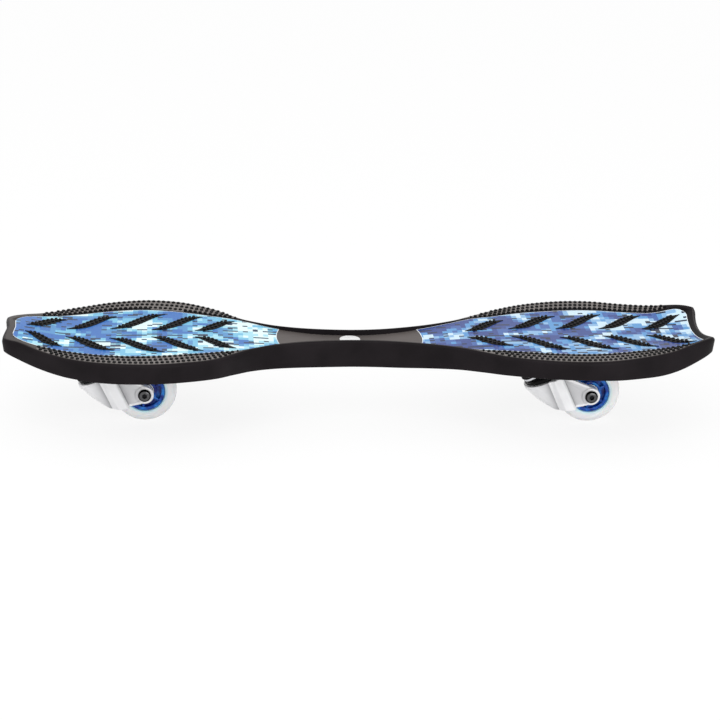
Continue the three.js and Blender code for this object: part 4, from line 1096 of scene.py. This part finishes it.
def makeAxle(end, lying):
    # Heights run along the matrix's Z, which lies along +Y of the board
    body, wheelBody = end + "_fork", end + "_wheel"
    heights = (-axle["headFace"], -axle["bossFace"], axle["end"])
    radii = (axle["head"], axle["shaft"], axle["socket"])
    socketScrew(end + "AxleBolt", body, lying, heights, radii, axle["socketDepth"])
    hexNut(
        end + "AxleNut", body, lying,
        axle["bossFace"], axle["nutHigh"], axle["nut"], axle["shaft"] + axle["nutClearance"],
    )
    bore, outer, half = axle["bore"], bearing["radius"], bearing["half"]
    innerRing, outerRing = bore + bearing["innerWall"], outer - bearing["outerWall"]
    inset, gap = bearing["shieldInset"], bearing["shieldGap"]
    for word, way in (("Near", -1), ("Far", 1)):
        ends = sorted((way * axle["spacerFrom"], way * axle["spacerTo"]))
        low, high = way * bearing["centre"] - half, way * bearing["centre"] + half
        shield = (innerRing + gap, outerRing - gap / 2, low + inset, high - inset)
        for part, rider, box, key, steps in (
            ("AxleSpacer", body, (bore, axle["spacer"], *ends), "zinc", 32),
            ("BearingOuter", wheelBody, (outerRing, outer, low, high), "bearing", 48),
            ("BearingInner", body, (bore, innerRing, low, high), "bearing", 40),
            ("BearingShield", wheelBody, shield, "bearing", 40),
        ):
            turned(end + part + word, rider, lying, boxProfile(*box), key, steps)
    reach = bearing["spacerHalf"]
    turned(end + "BearingSpacer", body, lying, boxProfile(bore, bore + bearing["spacerWall"], -reach, reach))


# Wheels

wheel = lengths(
    radius=38, halfWidth=12, tread=10, bore=24, lip=2, lipEdge=0.5,
    hubRadius=23.7, hubHalf=10, hubRim=4, hubWeb=2.5, collar=14.3, seat=11.2, ledge=10.2, shelf=2.8,
    spokeThickness=2.6, spokeRecess=1.2, spokeRoot=1.5, spokeRound=0.7, hubRound=0.5,
)
wheel.update(treadSteps=9, steps=96, spokes=6)


def makeTyre(end, lying):
    half, tread, bore, lip = wheel["halfWidth"], wheel["tread"], wheel["bore"], wheel["lip"]
    edge, centre, steps = wheel["lipEdge"], wheel["radius"] - tread, wheel["treadSteps"]
    profile = [(bore, -half + lip), (bore + edge, -half + edge), (bore + lip, -half)]
    for way in (-1, 1):
        for i in range(steps + 1):
            angle = math.pi / 2 * (i / steps if way < 0 else 1 - i / steps)
            rise = half - tread + math.cos(angle) * tread
            profile.append((centre + math.sin(angle) * tread, way * rise))
    profile += [(bore + lip, half), (bore + edge, half - edge), (bore, half - lip)]
    bm = spunMesh(profile, Matrix.Identity(4), wheel["steps"])
    layer = bm.verts.layers.float.new("fromHub")
    for v in bm.verts:
        v[layer] = (math.hypot(v.co.x, v.co.y) - bore) / (wheel["radius"] - bore)
    bmesh.ops.transform(bm, matrix=lying, verts=bm.verts)
    dress(end + "Tyre", bm, ["urethane"], end + "_wheel", sharpDegrees=40)


def makeHub(end, lying):
    half, radius, collar = wheel["hubHalf"], wheel["hubRadius"], wheel["collar"]
    rim, web, seat = radius - wheel["hubRim"], wheel["hubWeb"], wheel["seat"]
    shelf, ledge = wheel["shelf"], wheel["ledge"]
    profile = [
        (seat, -half), (collar, -half), (collar, -web), (rim, -web), (rim, -half), (radius, -half),
        (radius, half), (rim, half), (rim, web), (collar, web), (collar, half), (seat, half),
        (seat, shelf), (ledge, shelf), (ledge, -shelf), (seat, -shelf),
    ]
    bm = spunMesh(rounded(profile, wheel["hubRound"], 2), Matrix.Identity(4), wheel["steps"])
    length = rim - collar + 2 * wheel["spokeRoot"]
    size = Matrix.Diagonal((length, wheel["spokeThickness"], 2 * (half - wheel["spokeRecess"]), 1))
    middle = Matrix.Translation(((rim + collar) / 2, 0, 0))
    for number in range(wheel["spokes"]):
        spoke = bmesh.ops.create_cube(bm, size=1)["verts"]
        turn = Matrix.Rotation(tau * number / wheel["spokes"], 4, "Z")
        bmesh.ops.transform(bm, matrix=turn @ middle @ size, verts=spoke)
        edges = list(dict.fromkeys(e for v in spoke for e in v.link_edges))
        bmesh.ops.bevel(
            bm, geom=edges, offset=wheel["spokeRound"], offset_type="OFFSET", affect="EDGES",
            segments=2, profile=0.5, material=-1,
        )
    bmesh.ops.transform(bm, matrix=lying, verts=bm.verts)
    dress(end + "Hub", bm, ["hub"], end + "_wheel")


# Forks: cast in one piece, so the parts are joined and their edges melted together

fork = lengths(
    crownHigh=40, crownRadius=27, crownThick=5.5, rimLow=0.5, hoodWall=4, hoodCut=3, inner=15.5,
    legOuter=22, legDrop=9.2, boss=10.8, bossFace=23.5, wheelRoom=40.5, axleBore=4.3, pinBore=5.6,
    ridgeFront=-34.5, ridgeRear=-22.3, ridgeOut=30, ridgeBevel=2.5, ridgeFlank=8,
    pocket=0.9, pocketEdge=3, pocketRound=2.5, pocketGap=0.5, pocketFoot=1.5, pocketToe=3, pocketTop=9.5,
    overrun=1, grain=0.7,
)
fork.update(
    softenTurns=4, softenFactor=0.5, legBend=(2.6, 0.55), legEnd=(0.75, 0.97), curveSteps=14,
    bossSteps=16, bossArc=(234, 396), crownCorners=(0.9, 0.6), hoodSteps=28, hoodLevels=14,
    roomSegments=96, boreSegments=32,
)

hoodShares = smoothTable([(0, 0.2), (0.1, 0.36), (0.28, 0.55), (0.5, 0.745), (0.75, 0.9), (1, 1)])
hoodHalfShares = smoothTable([(0, 0.8), (0.1, 0.83), (0.28, 0.87), (0.5, 0.91), (0.75, 0.96), (1, 1)])


def legOutline():
    # Side view of a leg, in u along the board and w along the steering axis
    boss, drop, offset = fork["boss"], fork["legDrop"], caster["offset"]
    crown, radius, steps = fork["crownHigh"], fork["crownRadius"], fork["curveSteps"]
    start = Vector((-offset, fork["rimLow"]))
    bend, end = (Vector((-boss * back, -drop * down)) for back, down in (fork["legBend"], fork["legEnd"]))
    points = [start] + [curve(start, bend, end, k / steps) for k in range(1, steps + 1)]
    low, high = fork["bossArc"]
    for k in range(fork["bossSteps"] + 1):
        angle = math.radians(low + (high - low) * k / fork["bossSteps"])
        points.append(Vector((boss * math.cos(angle), boss * math.sin(angle))))
    low, high = fork["crownCorners"]
    top = [(radius * low, crown - fork["crownThick"]), (radius * high, crown), (0, crown)]
    return points + [Vector((u - offset, w)) for u, w in top]


def webOutline():
    # The pocket in a leg: between the ridge, the lower rim and the boss
    edge, boss, drop = fork["pocketEdge"], fork["boss"], fork["legDrop"]
    left = fork["ridgeRear"] + fork["pocketGap"]
    crown = fork["crownHigh"] - fork["crownThick"] - edge
    corners = [
        (left, fork["pocketFoot"] - drop * 0.5), (left + fork["pocketToe"], edge - drop * 0.8),
        (-boss * 0.8, edge - drop * 0.9), (-boss * 1.05, 0), (-boss * 0.95, boss * 0.5),
        (-boss * 0.5, boss * 1.08), (left + fork["pocketTop"], crown * 0.62), (left, crown),
    ]
    return rounded(corners, fork["pocketRound"])


def prism(bm, outline, depths, place):
    # A closed prism: place turns an outline's point and a depth into a point
    loop = [bm.verts.new(place(point, depths[0])) for point in outline]
    bm.faces.new(loop)
    bm.faces.new(growRings(bm, loop, lambda i, depth: place(outline[i], depth), depths[1:]))


def sideways(point, depth):
    return Vector((point[0], depth, point[1]))


def upward(point, height):
    return Vector((*point, height))


def hoodLoft(bm, inset, low, high, rear):
    radius, offset = fork["crownRadius"], caster["offset"]
    steps, levels = fork["hoodSteps"], fork["hoodLevels"]

    def ringPoints(share):
        reach = hoodShares(share) * radius - inset
        half = fork["inner"] if inset else hoodHalfShares(share) * radius
        points = [(rear, half)]
        for k in range(steps + 1):
            angle = math.pi / 2 + math.pi * k / steps
            points.append((-offset + math.cos(angle) * reach, math.sin(angle) * half))
        return points + [(rear, -half)]

    rings = [(ringPoints(k / levels), low + (high - low) * k / levels) for k in range(levels + 1)]
    stackRings(bm, Matrix.Identity(4), rings, False)


def cylinder(bm, radius, low, high, matrix, segments=64):
    bmesh.ops.create_cone(
        bm, cap_ends=True, cap_tris=False, segments=segments, radius1=radius, radius2=radius,
        depth=high - low, matrix=matrix @ Matrix.Translation((0, 0, (low + high) / 2)),
    )


def solidObject(build, *sizes):
    # Joined and cut in millimetres, where Blender's boolean is surest
    bm = bmesh.new()
    build(bm, *sizes)
    bmesh.ops.scale(bm, vec=(1 / mm, 1 / mm, 1 / mm), verts=bm.verts)
    bmesh.ops.recalc_face_normals(bm, faces=bm.faces)
    mesh = bpy.data.meshes.new("forkPart")
    bm.to_mesh(mesh)
    bm.free()
    return linked("forkPart", mesh)


def applyModifiers(piece):
    graph = bpy.context.evaluated_depsgraph_get()
    old = piece.data
    mesh = bpy.data.meshes.new_from_object(piece.evaluated_get(graph))
    piece.modifiers.clear()
    piece.data = mesh
    bpy.data.meshes.remove(old)


def combine(piece, others, operation):
    for other in others:
        modifier = piece.modifiers.new("join", "BOOLEAN")
        modifier.operation = operation
        modifier.solver = "EXACT"
        modifier.object = other
        applyModifiers(piece)
        bpy.data.objects.remove(other)


def meltTogether(piece, softenTurns=0):
    # Overlapping closed parts become one skin, and its edges soften
    melt = piece.modifiers.new("melt", "REMESH")
    melt.mode = "VOXEL"
    melt.voxel_size = fork["grain"] / mm
    if softenTurns:
        soften = piece.modifiers.new("soften", "SMOOTH")
        soften.factor = fork["softenFactor"]
        soften.iterations = softenTurns
    applyModifiers(piece)


def outlineDistance(outline, u, w):
    nearest = math.inf
    for a, b in zip(outline, outline[1:] + outline[:1]):
        dx, dy = b[0] - a[0], b[1] - a[1]
        share = min(max(((u - a[0]) * dx + (w - a[1]) * dy) / (dx * dx + dy * dy), 0), 1)
        nearest = min(nearest, math.hypot(u - a[0] - dx * share, w - a[1] - dy * share))
    return nearest


# How dark the painted shade on the cast gets, and over how many millimetres that fades
castPaintedShade = {
    "web": 0.34, "webRoot": 0.4, "webFade": 3, "rimEdge": 0.8, "rimFade": 1.6,
    "hood": 0.68, "hoodFade": 6, "hoodOver": 1, "hoodShare": 0.4, "flank": 0.05,
}


def paintCastShade(mesh):
    # Painted shade: greyer in the webs of the legs inside their bright rims and darkest next to the ridge,
    # on the hood where it meets the ridge, and a little on the ridge's flank
    layer = mesh.attributes.new("shade", "FLOAT", "POINT")
    outline = [(point.x / mm, point.y / mm) for point in legOutline()]
    rim, rear, front = (fork[key] / mm for key in ("pocketEdge", "ridgeRear", "ridgeFront"))
    root = (fork["ridgeFront"] - fork["ridgeFlank"]) / mm
    inner = (fork["legOuter"] - 2 * fork["pocket"]) / mm
    for v, entry in zip(mesh.vertices, layer.data):
        u, y, w = v.co
        if u > rear and abs(y) > inner:
            deep = outlineDistance(outline, u, w) - rim + castPaintedShade["rimEdge"]
            inside = min(max(deep, 0) / castPaintedShade["rimFade"], 1)
            nearRidge = castPaintedShade["webRoot"] * math.exp((rear - u) / castPaintedShade["webFade"])
            entry.value = inside * (castPaintedShade["web"] + nearRidge)
        elif u < root + castPaintedShade["hoodOver"] and abs(y) > inner * castPaintedShade["hoodShare"]:
            entry.value = castPaintedShade["hood"] * math.exp((u - root) / castPaintedShade["hoodFade"])
        elif u < front and abs(y) > inner:
            entry.value = castPaintedShade["flank"]


def castShape():
    lying = Matrix.Rotation(-math.pi / 2, 4, "X")
    pin = Matrix.Translation((-caster["offset"], 0, 0))
    inner, outer, face = fork["inner"], fork["legOuter"], fork["bossFace"]
    high, rear, rim = fork["crownHigh"], fork["ridgeRear"], fork["rimLow"]
    under = high - fork["crownThick"]

    # The ridge: a bar with slanted flanks, cut to the leg's side view
    out, front, bevel = fork["ridgeOut"], fork["ridgeFront"], fork["ridgeBevel"]
    half = [(front - fork["ridgeFlank"], outer), (front, out), (rear - bevel, out), (rear, out - bevel)]
    plan = [(u, -y) for u, y in half] + half[::-1]
    ridge = solidObject(prism, plan, (-2 * fork["legDrop"], high), upward)
    combine(ridge, [solidObject(prism, legOutline(), (-2 * out, 2 * out), sideways)], "INTERSECT")

    def massParts(bm):
        hoodLoft(bm, 0, rim, high, rear)
        cylinder(bm, fork["crownRadius"], under, high, pin)
        for way in (-1, 1):
            prism(bm, legOutline(), sorted((way * inner, way * outer)), sideways)
            cylinder(bm, fork["boss"], *sorted((way * inner, way * face)), lying)

    body = solidObject(massParts)
    bm = bmesh.new()
    bm.from_mesh(body.data)
    bm.from_mesh(ridge.data)
    bm.to_mesh(body.data)
    bm.free()
    bpy.data.objects.remove(ridge)
    meltTogether(body)
    cuts = [
        solidObject(hoodLoft, fork["hoodWall"], rim - fork["hoodCut"], under, rear + fork["overrun"]),
        solidObject(cylinder, fork["wheelRoom"], -inner, inner, lying, fork["roomSegments"]),
        solidObject(cylinder, fork["axleBore"], -2 * face, 2 * face, lying, fork["boreSegments"]),
        solidObject(cylinder, fork["pinBore"], 0, 2 * high, pin, fork["boreSegments"]),
    ]
    for way in (-1, 1):
        span = sorted((way * (outer - fork["pocket"]), way * 2 * outer))
        cuts.append(solidObject(prism, webOutline(), span, sideways))
    combine(body, cuts, "DIFFERENCE")
    meltTogether(body, fork["softenTurns"])
    # Painted shade is written into the shade attribute
    paintCastShade(body.data)
    return body


def makeForks():
    shape = castShape()
    for end in ("front", "rear"):
        mesh = shape.data.copy()
        mesh.transform(casterMatrix(end) @ Matrix.Scale(mm, 4))
        mesh.materials.clear()
        mesh.materials.append(finishes["cast"])
        mesh.shade_smooth()
        declare(linked(end + "Fork", mesh), "cast", end + "_fork")
    print("fork cast:", len(shape.data.polygons), "faces")
    bpy.data.objects.remove(shape)


for end in ("front", "rear"):
    lyingAxle = casterMatrix(end) @ Matrix.Rotation(-math.pi / 2, 4, "X")
    makeSwivel(end)
    makeAxle(end, lyingAxle)
    makeTyre(end, lyingAxle)
    makeHub(end, lyingAxle)
    for slot in bpy.data.objects[end + "_swivel_ball_ring"].material_slots:
        slot.material = finishes["bearing"]
makeForks()
print("casters assembled")


# Floor, light and camera

stage = {
    "floorSize": 6.0,
    "floorColor": (0.97, 0.97, 0.97),
    "floorWhite": 0.85,
    "worldStrength": 0.9,
    "lampSize": 1.6,
    "keyEnergy": 18,
    "keyPlace": (-0.6, -1.5, 2.0),
    "fillEnergy": 16,
    "fillPlace": (0.9, -2.0, 0.6),
    "target": (2.5 * mm, 0, 75.61 * mm),
    "azimuth": -4.98,
    "elevation": 19.47,
    "roll": 1.93,
    "distance": 2.68818,
    "lens": 112.0,
    "sensor": 36.0,
    "farClip": 20,
}


def whiteToCamera(nodes, output, kind, plain, share):
    # White to the camera and in reflections by a share, the plain shader to everything else
    rays = nodes.add("ShaderNodeLightPath").outputs
    seen = nodes.math("MAXIMUM", rays["Is Camera Ray"], rays["Is Glossy Ray"])
    seen = nodes.math("MAXIMUM", seen, rays["Is Transmission Ray"])
    white = nodes.add(kind, {"Color": (1, 1, 1, 1), "Strength": 1.0}).outputs[0]
    factor = nodes.math("MULTIPLY", seen, share)
    mix = nodes.add("ShaderNodeMixShader", {"Fac": factor, 1: plain, 2: white})
    nodes.link(mix.outputs[0], nodes.tree.nodes[output].inputs["Surface"])


def makeFloor():
    bm = bmesh.new()
    bmesh.ops.create_grid(bm, x_segments=1, y_segments=1, size=stage["floorSize"])
    material = bpy.data.materials.new("floorFinish")
    material.use_nodes = True
    nodes = Nodes(material.node_tree)
    nodes.tree.nodes.remove(nodes.tree.nodes["Principled BSDF"])
    matte = nodes.add("ShaderNodeBsdfDiffuse", {"Color": (*stage["floorColor"], 1)}).outputs[0]
    whiteToCamera(nodes, "Material Output", "ShaderNodeEmission", matte, stage["floorWhite"])
    finishMesh("studioFloor", bm, [material])


def makeLight():
    world = bpy.data.worlds.new("studioWorld")
    bpy.context.scene.world = world
    world.use_nodes = True
    plain = world.node_tree.nodes["Background"]
    plain.inputs["Color"].default_value = (1, 1, 1, 1)
    plain.inputs["Strength"].default_value = stage["worldStrength"]
    whiteToCamera(Nodes(world.node_tree), "World Output", "ShaderNodeBackground", plain.outputs[0], 1.0)
    for name in ("key", "fill"):
        lamp = bpy.data.lights.new(name + "Lamp", "AREA")
        lamp.energy = stage[name + "Energy"]
        lamp.size = stage["lampSize"]
        holder = linked(name + "Lamp", lamp)
        place = Vector(stage[name + "Place"])
        holder.location = place
        holder.rotation_euler = (Vector(stage["target"]) - place).to_track_quat("-Z", "Y").to_euler()


def makeCamera():
    azimuth, elevation, roll = (math.radians(stage[key]) for key in ("azimuth", "elevation", "roll"))
    flat = math.cos(elevation)
    back = Vector((math.sin(azimuth) * flat, -math.cos(azimuth) * flat, math.sin(elevation)))
    level = Vector((math.cos(azimuth), math.sin(azimuth), 0))
    upright = back.cross(level)
    right = level * math.cos(roll) + upright * math.sin(roll)
    up = upright * math.cos(roll) - level * math.sin(roll)
    data = bpy.data.cameras.new("photoCamera")
    data.lens = stage["lens"]
    data.sensor_width = stage["sensor"]
    data.clip_end = stage["farClip"]
    camera = linked("photoCamera", data)
    turn = Matrix((right, up, back)).transposed().to_4x4()
    camera.matrix_world = Matrix.Translation(Vector(stage["target"]) + back * stage["distance"]) @ turn
    bpy.context.scene.camera = camera


makeFloor()
makeLight()
makeCamera()
bpy.context.scene.view_settings.view_transform = "Standard"
